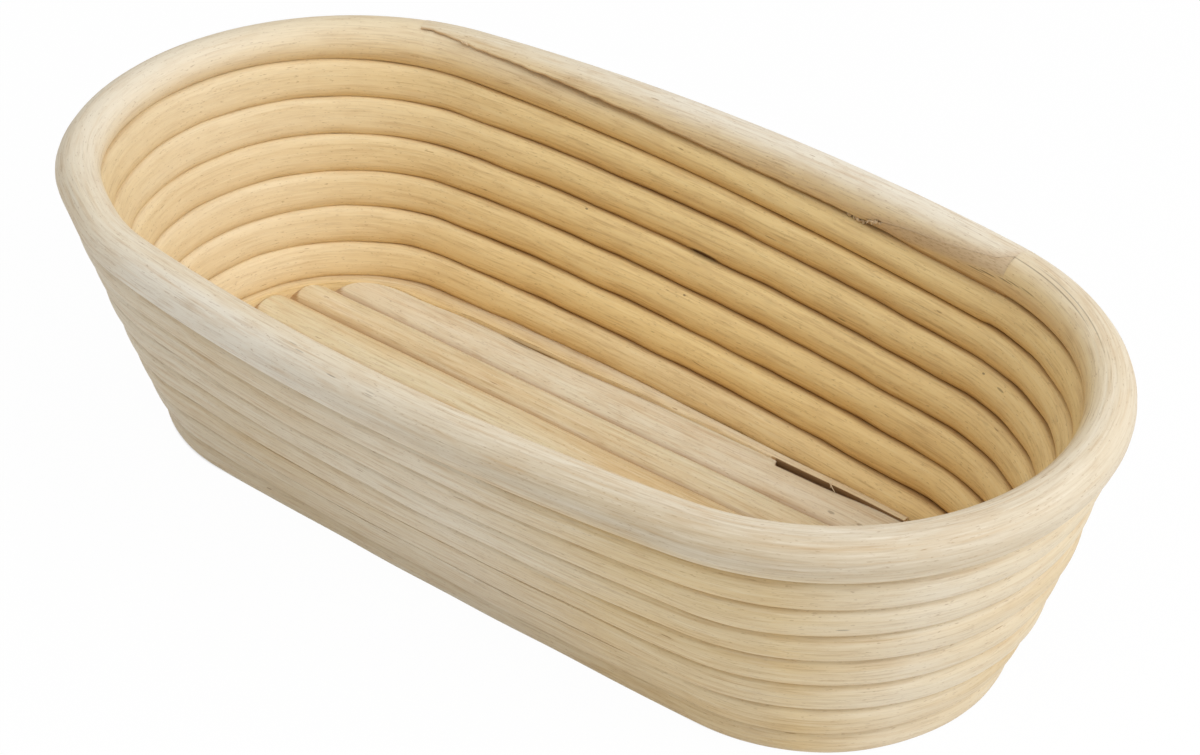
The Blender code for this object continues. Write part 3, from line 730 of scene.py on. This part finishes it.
LEDGE, LEDGE_STEP, EDGE_SHARE, SLIT_EDGE = 0.8, 0.004, 0.97, 0.003


def torn_edge(x):
    """Width missing at the back edge of the last floor cane: a torn step that narrows, and a slit."""
    narrowing = 1 - TORN_NARROWING * ramp(x, *NARROWING_RAMP)
    return TORN_WIDTH * narrowing * ramp(x, TORN_FROM, TORN_STEP) + SLIT_WIDTH * in_slit(x, SLIT_EDGE)


def floor_rings(low_x, high_x):
    """Places of the rings along X: closer together at the ends, by a cosine, and at the torn step."""
    share = 0.5 - 0.5 * np.cos(math.pi * np.linspace(0, 1, FLOOR_RINGS))
    x = low_x - UNDER_EDGE + (high_x - low_x + 2 * UNDER_EDGE) * share
    return np.sort(np.append(x, TORN_RINGS))[:, None]


def floor_cane(row):
    """Points and attributes of one floor cane along X. Below, the section is a squarish
    superellipse; its top is a crown that falls by a power of the distance from the middle. At
    each end the top steps down along a rounded nose, sheared by the slant of the edge it meets, and
    the rest runs on below the lowest turn."""
    last = row == FLOOR_CANES - 1
    low_x, high_x = floor_ends[row] + [NOSE_SHIFT[row], RIGHT_SHIFT]
    x = floor_rings(low_x, high_x)
    angle = -math.pi / 2 + 2 * math.pi * np.arange(SIDES)[None, :] / SIDES
    upper = np.sin(angle) > -0.01
    share = np.abs(np.cos(angle))
    nose = NOSE * (1 - (1 - np.minimum(share, 0.999) ** NOSE_POWER) ** (1 / NOSE_POWER))
    inside = np.minimum(x - low_x, high_x - x) - nose
    worn = 1 - smooth(inside / NOSE_SOFT)
    side, rise = section(FLOOR_SQUARENESS, FLOOR_SQUARENESS, FLOOR_SQUARENESS)
    side = np.where(upper, np.cos(angle), side) * row_half[row] * np.ones_like(x)
    crown = np.where((side < 0) & last, BACK_CROWN, CROWN) * share ** CROWN_POWER
    top = FLOOR_TOP / 2 - np.maximum(crown, NOSE_DROP * worn)
    rise = np.where(upper, top, rise * FLOOR_TOP / 2)
    if last:
        below = 1 + LEDGE * ramp(x, TORN_FROM, LEDGE_STEP)
        wider = 1 + (floor_back(x) - FLOOR_BACK - torn_edge(x)) / row_half[row]
        side = np.where(side < 0, side * np.where(upper, wider, below), side)
    slant = SLANT_SHARE * (floor_slant[row, 0] * (1 - smooth((x - low_x) / SLANT_REACH))
                           + floor_slant[row, 1] * (1 - smooth((high_x - x) / SLANT_REACH)))
    sway = wander(x[:, 0] - low_x, *SWAY_WANDER)[:, None]
    points = np.stack([x - slant * side, row_y[row] + sway - side, FLOOR_TOP / 2 + rise], axis=-1)
    # Painted shade in the valleys between floor canes; each cane also darkens towards the edge of its
    # nose.
    groove = np.maximum(FLOOR_VALLEY_SHADE * share ** FLOOR_VALLEY_SHADE_POWER, 1 - smooth(inside / NOSE_DARK))
    # Painted dark shade on the side of the torn back edge, in the gap.
    torn = (side < 0) & (x > TORN_FROM) & last
    groove = np.where(torn, groove + GAP_SHADE * (share > EDGE_SHARE), groove)
    return points, cane_attributes(x[:, 0] + ROW_LENGTH * row, side, rise, groove=groove,
                                   pale=FLOOR_PALE[row], patch=0.0, inner=FLOOR_GOLD[row])


floor_pieces = []
for row in range(FLOOR_CANES):
    points, attributes = floor_cane(row)
    piece = new_piece(f"floor_{row + 1}", points, attributes)
    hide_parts(f"floor_cane_{row + 1}")
    floor_pieces.append(piece)

# %% [markdown]
# ## Torn fibres
# Where the cane was cut and pressed, a few fibres have come loose: in the groove above the second
# turn, along the lower edge of the rim's last length, and across the gap beside the last floor cane.
# Hair could show them, but only meshes are kept, so each is a thin tube that tapers at both ends,
# along a short crooked line.

# %% Loose fibres
FIBRE_RINGS, FIBRE_SIDES, FIBRE_UP = 11, 6, [0.0, 0.8, 0.6]
THIN_R, THICK_R, TIP_SHARE, TAPER = 0.00013, 0.00034, 0.15, 0.7
EDGE_OUT, EDGE_JITTER, GROOVE_JITTER = 0.0001, [0.4, 1, 1], [0.0001, 0.0001, 0.00018]
GROOVE_IN, GROOVE_FALL = 0.72, 0.0011
GAP_FIBRES = (((0.0521, 0.0380, 0.0079), (0.0567, 0.0345, 0.0081)),
              ((0.0535, 0.0384, 0.0080), (0.0545, 0.0356, 0.0079)))
GROOVE_FIBRES = ((-0.0115, 0.0028), (0.0022, 0.0022), (0.0085, 0.0034), (0.0137, 0.0024))
EDGE_FIBRES = ((0.203, 0.018, 0.0005), (0.211, 0.013, 0.0006), (0.222, 0.014, 0.0006),
               (0.233, 0.016, 0.0005), (0.241, 0.020, 0.0006), (0.252, 0.012, 0.0006),
               (0.262, 0.014, 0.0005), (1.000, 0.016, 0.0003))


def fibre(name, line, radius):
    """A round tube along a line of points, thinner towards its ends by a power of half a sine."""
    share = np.linspace(0, 1, FIBRE_RINGS)[:, None]
    thick = radius * (TIP_SHARE + (1 - TIP_SHARE) * np.sin(math.pi * share) ** TAPER)
    angle = -math.pi / 2 + 2 * math.pi * np.arange(FIBRE_SIDES)[None, :] / FIBRE_SIDES
    side, rise = thick * np.cos(angle), thick * np.sin(angle)
    points = tube_points(line, np.tile(FIBRE_UP, (FIBRE_RINGS, 1)), side, rise)
    return new_piece(name, points, cane_attributes(
        run_length(line), side, rise, groove=0.0, pale=0.6, patch=0.6, inner=0.5))


def edge_line(start, span, jitter):
    """A crooked line along the lower inner edge of the rim's last length."""
    along = np.linspace(start, start + span, FIBRE_RINGS)
    middle, up = rim_line(along)
    across, up = ring_directions(middle, up)
    low = np.interp(along, closing_station, flat)[:, None]
    edge = middle - across * (np.sqrt(RIM_R ** 2 - low ** 2) + EDGE_OUT) + up * low
    return edge + RANDOM.uniform(-jitter, jitter, (FIBRE_RINGS, 3)) * EDGE_JITTER


def groove_line(x, span):
    """A crooked line down from the third turn across the groove to the second."""
    third, second = (np.argmin(np.abs(wall_x - x) + (wall_turn != turn) + (wall_y < 0)) for turn in (2, 1))
    middle = (centre[third] + centre[second]) / 2
    share = np.linspace(-0.5, 0.5, FIBRE_RINGS)[:, None]
    line = middle + [0, -WALL_R * GROOVE_IN, 0] + share * np.array([span, 0, -GROOVE_FALL])
    return line + RANDOM.uniform(-1, 1, (FIBRE_RINGS, 3)) * GROOVE_JITTER


def gap_line(start, end):
    """A straight line between two places: shares of the one and of the other."""
    share = np.linspace(0, 1, FIBRE_RINGS)[:, None]
    return np.array(start) * (1 - share) + np.array(end) * share


fibres = []
for kind, line_of, places, radius in (("groove", groove_line, GROOVE_FIBRES, THIN_R),
                                      ("edge", edge_line, EDGE_FIBRES, THICK_R),
                                      ("gap", gap_line, GAP_FIBRES, THIN_R)):
    fibres += [fibre(f"{kind}_fibre_{k + 1}", line_of(*place), radius) for k, place in enumerate(places)]
print(len(fibres), "loose fibres")

# %% [markdown]
# ## Cane, as a material
# Peeled rattan is pale, with fine fibres along it, a slow drift between straw and honey, and a
# few dark flecks. A picture of wood would not bend with the winding. So the pattern lives in the
# straightened cane: noise that is stretched about twenty-four times along it gives fibres that
# follow every bend. The attributes then say where it is golden, pale, grey or dark; part of that is
# painted light and shade: painted highlight and grey painted shade on the rim, amber painted bounce
# light low on the golden turns, and painted shade in the grooves and gaps.

# %% Node helpers
def add(tree, kind, *inputs, **named):
    """A new node, with inputs set or linked in their order or by their names."""
    node = tree.nodes.new(kind)
    for key, value in [*enumerate(inputs), *named.items()]:
        fill(tree, node.inputs[key], value)
    return node


def fill(tree, socket, value):
    """Links another socket, or sets a plain value."""
    if isinstance(value, bpy.types.NodeSocket):
        tree.links.new(value, socket)
    else:
        socket.default_value = value


def attribute(tree, name, output):
    """A mesh attribute by its name."""
    node = tree.nodes.new("ShaderNodeAttribute")
    node.attribute_name = name
    return node.outputs[output]


def stretched_noise(tree, place, scale, detail, roughness=0.55):
    """Noise on the straightened cane, scaled apart along it and across it."""
    mapping = add(tree, "ShaderNodeMapping", Vector=place, Scale=scale)
    return add(tree, "ShaderNodeTexNoise", Vector=mapping.outputs[0], Scale=1.0, Detail=detail,
               Roughness=roughness).outputs[0]


def between(tree, value, low, high, out_low=0.0, out_high=1.0):
    """A value moved from one range to another, and held inside it."""
    return add(tree, "ShaderNodeMapRange", value, low, high, out_low, out_high).outputs[0]


def blend(tree, share, first, second):
    """A mix of two colours."""
    node = tree.nodes.new("ShaderNodeMix")
    node.data_type = "RGBA"
    for socket, value in zip((node.inputs[0], node.inputs[6], node.inputs[7]), (share, first, second)):
        fill(tree, socket, value)
    return node.outputs[2]


def calc(tree, operation, first, second):
    """One calculation with two values."""
    node = add(tree, "ShaderNodeMath", first, second)
    node.operation = operation
    return node.outputs[0]


def colour(red, green, blue):
    """A colour written as the eye sees it, 0 to 255, made linear."""
    share = np.array([red, green, blue]) / 255
    return (*np.where(share <= 0.04045, share / 12.92, ((share + 0.055) / 1.055) ** 2.4), 1.0)


# %% Colours and patterns of cane
STRAW = colour(226, 209, 176)
HONEY = colour(217, 192, 146)
FLOOR_STRAW = colour(221, 212, 183)
FLOOR_HONEY = colour(215, 191, 149)
CREAM = colour(238, 229, 211)
GOLD = colour(238, 210, 150)
BOUNCE_AMBER = colour(222, 180, 112)
LEMON = colour(243, 222, 170)
GREY_TONE_AND_SHADE = colour(186, 178, 166)
TAN = colour(196, 160, 110)
SHADE_BROWN = colour(156, 105, 38)
BROWN = colour(150, 112, 68)
DARK = colour(84, 54, 26)
PATCH = colour(214, 190, 158)
DRIFT_SCALE, MOTTLE_SCALE, STREAK_SCALE = (8, 90, 90), (110, 420, 420), (38, 900, 900)
FINE_SCALE, FLECK_SCALE, PORE_SCALE = (95, 2300, 2300), (170, 1300, 1300), (700, 3200, 3200)
print(f"streaks are stretched {STREAK_SCALE[1] / STREAK_SCALE[0]:.0f} times along the cane")

# %% Shares of the patterns
DRIFT_RANGE, BOUNCE_AMBER_RANGE, CALM_RANGE = (0.35, 0.65), (0.0005, -0.0035, 0.0, 0.3), (0, 1, 1.0, 0.5)
DARK_STREAK, LIGHT_STREAK = (0.52, 0.72, 0.0, 0.45), (0.48, 0.30, 0.0, 0.45)
DARK_FINE, LIGHT_FINE = (0.52, 0.74, 0.0, 0.36), (0.46, 0.28, 0.0, 0.32)
DARK_MOTTLE, BARE_RANGE = (0.50, 0.70, 0.0, 0.22), (0.5, 0.7, 0.0, 0.45)
PORE_RANGE, FLECK_RANGE = (0.66, 0.74, 0.0, 0.35), (0.76, 0.80, 0.0, 0.6)
# How far the painted shade of grooves goes to brown, and of gaps to dark.
GROOVE_SHADE_RANGE, GAP_SHADE_RANGE = (0.3, 0.85, 0.0, 0.64), (1.5, 2.2, 0.0, 0.9)
ROUGH_RANGE, BUMP, BUMP_DEPTH, STREAK_RELIEF, GLOSS = (0.3, 0.7, 0.48, 0.66), 0.45, 0.0002, 0.8, 0.35
print(f"grooves are up to {GROOVE_SHADE_RANGE[-1]:.0%} earth, and gaps up to {GAP_SHADE_RANGE[-1]:.0%} dark")


# %% The cane material
def mark(tree, where, place, size):
    """1 inside a small ellipsoid at a place in the straightened cane, 0 outside it."""
    offset = add(tree, "ShaderNodeVectorMath", where, place)
    offset.operation = "SUBTRACT"
    scaled = add(tree, "ShaderNodeVectorMath", offset.outputs[0], tuple(1 / half for half in size))
    scaled.operation = "MULTIPLY"
    away = add(tree, "ShaderNodeVectorMath", scaled.outputs[0])
    away.operation = "LENGTH"
    return between(tree, away.outputs["Value"], 1.0, 0.6)


def cane_material(name, marks, straw, honey):
    """Peeled rattan. The tone drifts between straw and honey, and goes to gold, cream or grey by the
    attributes; on the rim the cream is partly painted highlight and the grey is painted shade, and golden
    turns get a painted amber bounce light below. Streaks, mottle, fine fibres, pores and flecks lie over
    it, then bare wood, painted shade in grooves and gaps, and marks. A range gives a pattern's lowest
    and highest value, and the shares they stand for."""
    made = bpy.data.materials.new(name)
    made.use_nodes = True
    tree = made.node_tree
    shader = tree.nodes["Principled BSDF"]
    where = attribute(tree, "cane", "Vector")
    inner = attribute(tree, "inner", "Fac")
    rise = add(tree, "ShaderNodeSeparateXYZ", where).outputs[2]
    drift = stretched_noise(tree, where, DRIFT_SCALE, 2)
    mottle = stretched_noise(tree, where, MOTTLE_SCALE, 3)
    streak = stretched_noise(tree, where, STREAK_SCALE, 4, 0.6)
    fine = stretched_noise(tree, where, FINE_SCALE, 3, 0.65)
    fleck = stretched_noise(tree, where, FLECK_SCALE, 1)
    pore = stretched_noise(tree, where, PORE_SCALE, 1)
    tone = blend(tree, between(tree, drift, *DRIFT_RANGE), straw, honey)
    tone = blend(tree, inner, tone, GOLD)
    # Painted bounce light: the golden inner turns go amber towards their undersides.
    low = between(tree, rise, *BOUNCE_AMBER_RANGE)
    tone = blend(tree, calc(tree, "MULTIPLY", low, inner), tone, BOUNCE_AMBER)
    pale = attribute(tree, "pale", "Fac")
    tone = blend(tree, between(tree, pale, 0, 2), tone, CREAM)
    # Below zero, pale goes grey: tone on the wall, painted shade on the rim. The next attribute adds
    # painted grey shade on the rim.
    tone = blend(tree, between(tree, pale, 0, -2), tone, GREY_TONE_AND_SHADE)
    tone = blend(tree, attribute(tree, "ash", "Fac"), tone, GREY_TONE_AND_SHADE)
    light = blend(tree, inner, CREAM, LEMON)
    shown = between(tree, attribute(tree, "calm", "Fac"), *CALM_RANGE)
    for pattern, reach, colouring in ((streak, DARK_STREAK, TAN), (streak, LIGHT_STREAK, light),
                                      (mottle, DARK_MOTTLE, TAN), (fine, DARK_FINE, BROWN),
                                      (fine, LIGHT_FINE, light)):
        share = calc(tree, "MULTIPLY", between(tree, pattern, *reach), shown)
        tone = blend(tree, share, tone, colouring)
    tone = blend(tree, between(tree, pore, *PORE_RANGE), tone, BROWN)
    tone = blend(tree, between(tree, fleck, *FLECK_RANGE), tone, BROWN)
    bare = blend(tree, between(tree, pore, *BARE_RANGE), PATCH, BROWN)
    tone = blend(tree, attribute(tree, "patch", "Fac"), tone, bare)
    # The groove attribute is painted shade: brown in grooves, valleys and under the rim, dark in gaps.
    painted_shade = attribute(tree, "groove", "Fac")
    tone = blend(tree, between(tree, painted_shade, *GROOVE_SHADE_RANGE), tone, SHADE_BROWN)
    tone = blend(tree, between(tree, painted_shade, *GAP_SHADE_RANGE), tone, DARK)
    for place, size, strength in marks:
        shade = calc(tree, "MULTIPLY", mark(tree, where, place, size), strength)
        tone = blend(tree, shade, tone, DARK)
    fill(tree, shader.inputs["Base Color"], tone)
    fill(tree, shader.inputs["Roughness"], between(tree, fine, *ROUGH_RANGE))
    relief = calc(tree, "ADD", fine, calc(tree, "MULTIPLY", streak, STREAK_RELIEF))
    bump = add(tree, "ShaderNodeBump", Strength=BUMP, Distance=BUMP_DEPTH, Height=relief)
    fill(tree, shader.inputs["Normal"], bump.outputs[0])
    shader.inputs["Specular IOR Level"].default_value = GLOSS
    return made


# %% [markdown]
# ## Marks
# Dots, dashes, a knot's wedge and fine splits are what make a piece of cane this one and no other.
# Painting them would need a map of the whole winding. Each is instead a small ellipsoid in the
# straightened cane, at a turn, a station and an angle from the outer side, so it lies on its cane.

# %% Marks on the winding
DOT, DASH, GRAZE = (0.0005, 0.0003, 0.0003), (0.0016, 0.0003, 0.0003), (0.0016, 0.00016, 0.00016)
SPLIT, CRACK = (0.022, 0.0002, 0.0002), (0.0032, 0.0002, 0.0002)
WEDGE = (0.0055, 0.0016, 0.0012)
ring_place = np.concatenate([turn_place, TOP_LEVEL + rim_station / 4, TURNS + tail_station / 4])
MARKS = ((7, 0.809, -129, DOT, 0.6), (6, 0.557, 108, DOT, 0.5), (4, 0.739, 132, DOT, 0.7),
         (3, 0.516, 135, DOT, 0.7), (5, 0.505, -118, WEDGE, 0.95), (5, 0.227, -144, DASH, 0.5),
         (5, 0.172, -129, DOT, 0.5), (4, 3.912, 144, DASH, 0.5), (4, 3.950, 138, DOT, 0.6),
         (7, 2.385, 95, GRAZE, 0.35), (7, 2.400, 86, GRAZE, 0.35), (7, 2.464, 69, GRAZE, 0.45),
         (7, 2.530, 74, GRAZE, 0.25), (7, 2.540, 68, GRAZE, 0.3), (7, 2.534, 64, GRAZE, 0.2),
         (5, 3.196, -6, DASH, 0.4), (7, 3.900, 130, SPLIT, 0.5), (7, 3.840, 119, SPLIT, 0.4),
         (8, 0.027, 204, CRACK, 0.5), (8, 0.004, 199, CRACK, 0.55), (7, 3.972, 192, CRACK, 0.55),
         (7, 3.950, 187, CRACK, 0.5), (7, 3.930, 183, CRACK, 0.4))


def ring_outline(side, rise):
    """Angles and radii of one ring."""
    return np.arctan2(rise, side), np.hypot(side, rise)


def cane_place(turn, station, angle):
    """Place in the straightened cane of a point on a turn, at an angle from its outer side."""
    ring = np.argmin(np.abs(ring_place - turn - station / 4))
    along, side, rise = coil_attributes["cane"][ring].T
    radius = np.interp(math.radians(angle), *ring_outline(side, rise), period=2 * math.pi)
    return along[0], radius * math.cos(math.radians(angle)), radius * math.sin(math.radians(angle))


coil_marks = [(cane_place(turn, station, angle), size, strength)
              for turn, station, angle, size, strength in MARKS]
print(len(coil_marks), "marks on the winding")

# %% Marks on the rim's last length and on the floor
NICK, NICK_STRENGTH = (0.0019, 0.0007, 0.0007), 0.75
NICK_STATIONS = (0.209, 0.224, 0.238, 0.250, 0.262, 0.273)
SLIT_SHADE, SCRATCH = (0.0085, 0.0012, 0.0010), (0.0012, 0.0004, 0.0004)
SLIT_MIDDLE = (SLIT_FROM + SLIT_TO) / 2
LAST_ROW = FLOOR_CANES - 1
# The first floor mark is painted shade in the open slit at the back edge; the scratches are marks on the
# cane.
FLOOR_MARKS = ((SLIT_MIDDLE, -0.74, SLIT_SHADE, 0.9), (0.0597, 0.55, SCRATCH, 0.4), (0.0679, 0.5, SCRATCH, 0.35))


def closing_edge(station):
    """Distance along the rim's last length, side and rise of its lower inner edge."""
    low = np.interp(station, closing_station, flat)
    along = np.interp(station, closing_station, closing_length)
    return along, -np.sqrt(RIM_R ** 2 - low ** 2), low


def floor_place(row, x, share):
    """Place in a floor cane's own lengthwise measure, at a share of its half width, on its top."""
    return x + ROW_LENGTH * row, share * row_half[row], FLOOR_TOP / 2 - CROWN * abs(share) ** CROWN_POWER


nicks = [closing_edge(station) for station in NICK_STATIONS]
closing_marks = [((along + length[-1], side, rise), NICK, NICK_STRENGTH) for along, side, rise in nicks]
floor_marks = [(floor_place(LAST_ROW, x, share), size, strength)
               for x, share, size, strength in FLOOR_MARKS]
print(len(closing_marks), "nicks,", len(floor_marks), "marks on the floor")

# %% Three cane finishes
wall_finish = cane_material("wall_cane_grain", coil_marks, STRAW, HONEY)
rim_finish = cane_material("rim_cane_grain", closing_marks, STRAW, HONEY)
floor_finish = cane_material("floor_cane_grain", floor_marks, FLOOR_STRAW, FLOOR_HONEY)
coil.data.materials.append(wall_finish)
closing.data.materials.append(rim_finish)
for piece in fibres:
    piece.data.materials.append(rim_finish)
for piece in floor_pieces:
    piece.data.materials.append(floor_finish)
print("three cane finishes")

# %% [markdown]
# ## The pins
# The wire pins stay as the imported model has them, because they sit inside the canes and their shape
# is plain. They get a drawn wire's fine scratches, with a little dullness, from one fine noise.

# %% Wire finish
DULL_WIRE, BRIGHT_WIRE, SCRATCH_SCALE = colour(150, 148, 144), colour(196, 195, 192), 2500.0
wire = bpy.data.materials.new("pin_wire_drawn")
wire.use_nodes = True
tree = wire.node_tree
shader = tree.nodes["Principled BSDF"]
spot = add(tree, "ShaderNodeTexCoord").outputs["Object"]
scratch = add(tree, "ShaderNodeTexNoise", Vector=spot, Scale=SCRATCH_SCALE, Detail=3.0).outputs[0]
fill(tree, shader.inputs["Base Color"], blend(tree, scratch, DULL_WIRE, BRIGHT_WIRE))
fill(tree, shader.inputs["Roughness"], between(tree, scratch, 0.3, 0.7, 0.28, 0.5))
wire_bump = add(tree, "ShaderNodeBump", Strength=0.3, Distance=0.00005, Height=scratch)
fill(tree, shader.inputs["Normal"], wire_bump.outputs[0])
shader.inputs["Metallic"].default_value = 1.0
pins = [thing for name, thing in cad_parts.items() if "_pin" in name]
for pin in pins:
    pin.data.materials.clear()
    pin.data.materials.append(wire)
print(len(pins), "pins finished")

# %% [markdown]
# ## Studio
# The basket stands on a white sweep. For the camera the sweep is almost plain white, and it keeps
# a faint shadow. Right under the basket it stays plain paper, so that nothing glows through a seam.
# The main lamp is a wide one on the right, so the inner left end and the top of the rim are bright.
# A weaker one above the front lifts the front wall, which is still softly shaded.

# %% Sweep
def seen_directly(tree):
    """1 for what the camera, a gloss or a clear surface sees directly, and 0 for other light."""
    path = tree.nodes.new("ShaderNodeLightPath")
    seen = calc(tree, "MAXIMUM", path.outputs["Is Camera Ray"], path.outputs["Is Glossy Ray"])
    return calc(tree, "MAXIMUM", seen, path.outputs["Is Transmission Ray"])


GLOW_SHARE = 0.975
SWEEP_HALF, SWEEP_DROP = 6, 0.0002
FOOT_STRAIGHT, UNDER_BASKET, OPEN_FLOOR = 0.0727, 0.0437, 0.0452
sweep_mesh = bpy.data.meshes.new("sweep")
sweep_corners = np.array([(-1, -1, 0), (1, -1, 0), (1, 1, 0), (-1, 1, 0)]) * SWEEP_HALF
sweep_mesh.from_pydata(sweep_corners.tolist(), [], [(0, 1, 2, 3)])
sweep = bpy.data.objects.new("sweep", sweep_mesh)
sweep.location.z = -SWEEP_DROP
bpy.context.scene.collection.objects.link(sweep)
paper = bpy.data.materials.new("sweep_paper")
paper.use_nodes = True
tree = paper.node_tree
tree.nodes.remove(tree.nodes["Principled BSDF"])
matt = add(tree, "ShaderNodeBsdfDiffuse", Color=(0.9, 0.9, 0.9, 1))
glow = add(tree, "ShaderNodeEmission", Color=(1, 1, 1, 1), Strength=1.0)
spot = add(tree, "ShaderNodeTexCoord").outputs["Object"]
for operation, *value in (["ABSOLUTE"], ["SUBTRACT", (FOOT_STRAIGHT, 0, 0)], ["MAXIMUM", (0, 0, 0)]):
    step = add(tree, "ShaderNodeVectorMath", spot, *value)
    step.operation = operation
    spot = step.outputs[0]
away = add(tree, "ShaderNodeVectorMath", spot)
away.operation = "LENGTH"
open_floor = between(tree, away.outputs["Value"], UNDER_BASKET, OPEN_FLOOR)
share = calc(tree, "MULTIPLY", calc(tree, "MULTIPLY", seen_directly(tree), GLOW_SHARE), open_floor)
mixed = add(tree, "ShaderNodeMixShader", share, matt.outputs[0], glow.outputs[0])
fill(tree, tree.nodes["Material Output"].inputs["Surface"], mixed.outputs[0])
sweep_mesh.materials.append(paper)
print(f"sweep of {2 * SWEEP_HALF} m, open from {OPEN_FLOOR * 1000:.1f} mm round the basket's middle line")

# %% World
WORLD_LIGHT = 0.46
world = bpy.data.worlds.new("studio")
bpy.context.scene.world = world
world.use_nodes = True
tree = world.node_tree
background = tree.nodes["Background"]
background.inputs["Color"].default_value = (1, 1, 1, 1)
fill(tree, background.inputs["Strength"], between(tree, seen_directly(tree), 0, 1, WORLD_LIGHT, 1.0))
print(f"world light {WORLD_LIGHT}")

# %% Lamps
from mathutils import Matrix, Vector

LIT_POINT = Vector((0, 0, 0.03))
MAIN_LAMP, FRONT_LAMP = ((1.0, 0.2, 0.95), 0.8, 9.8), ((0.25, -0.5, 1.25), 0.8, 4.4)


def soft_lamp(name, place, size, power):
    """A square lamp that faces the basket."""
    lamp = bpy.data.lights.new(name, "AREA")
    lamp.shape = "SQUARE"
    lamp.size = size
    lamp.energy = power
    thing = bpy.data.objects.new(name, lamp)
    direction = LIT_POINT - Vector(place)
    thing.location = place
    thing.rotation_euler = direction.to_track_quat("-Z", "Y").to_euler()
    bpy.context.scene.collection.objects.link(thing)
    print(f"{name} at {direction.length:.2f} m")


soft_lamp("main_lamp", *MAIN_LAMP)
soft_lamp("front_lamp", *FRONT_LAMP)

# %% [markdown]
# ## Camera
# The camera stands where the photograph was taken, found from the basket's outline: about
# thirty-eight degrees round to the right of the front and thirty-five above. The picture's middle
# is a few pixels beside the point it was found for, so the camera turns by that much.

# %% Camera
AZIMUTH, ELEVATION = math.radians(37.932), math.radians(35.147)
DISTANCE, ROLL = 0.65342, 0.014
TARGET = Vector((0.009091, -0.000116, 0.039831))
IMAGE_WIDTH, FOCAL_PIXELS = 1200, 2777.68
MIDDLE_RIGHT, MIDDLE_DOWN = 7.05, 0.19
back = Vector((math.sin(AZIMUTH) * math.cos(ELEVATION), -math.cos(AZIMUTH) * math.cos(ELEVATION),
               math.sin(ELEVATION)))
right = Vector((0, 0, 1)).cross(back).normalized()
rolled_right = math.cos(ROLL) * right + math.sin(ROLL) * back.cross(right)
rolled_up = back.cross(rolled_right)
place = TARGET + back * DISTANCE
back = back - rolled_right * MIDDLE_RIGHT / FOCAL_PIXELS + rolled_up * MIDDLE_DOWN / FOCAL_PIXELS
back = back.normalized()
rolled_right = rolled_up.cross(back).normalized()
rolled_up = back.cross(rolled_right)
lens = bpy.data.cameras.new("camera")
lens.sensor_width = 36.0
lens.lens = FOCAL_PIXELS / IMAGE_WIDTH * lens.sensor_width
lens.clip_start = 0.01
camera = bpy.data.objects.new("camera", lens)
camera.matrix_world = (Matrix.Translation(place)
                       @ Matrix((rolled_right, rolled_up, back)).transposed().to_4x4())
bpy.context.scene.collection.objects.link(camera)
bpy.context.scene.camera = camera
bpy.context.scene.view_settings.view_transform = "Standard"
print(f"lens {lens.lens:.1f} mm")
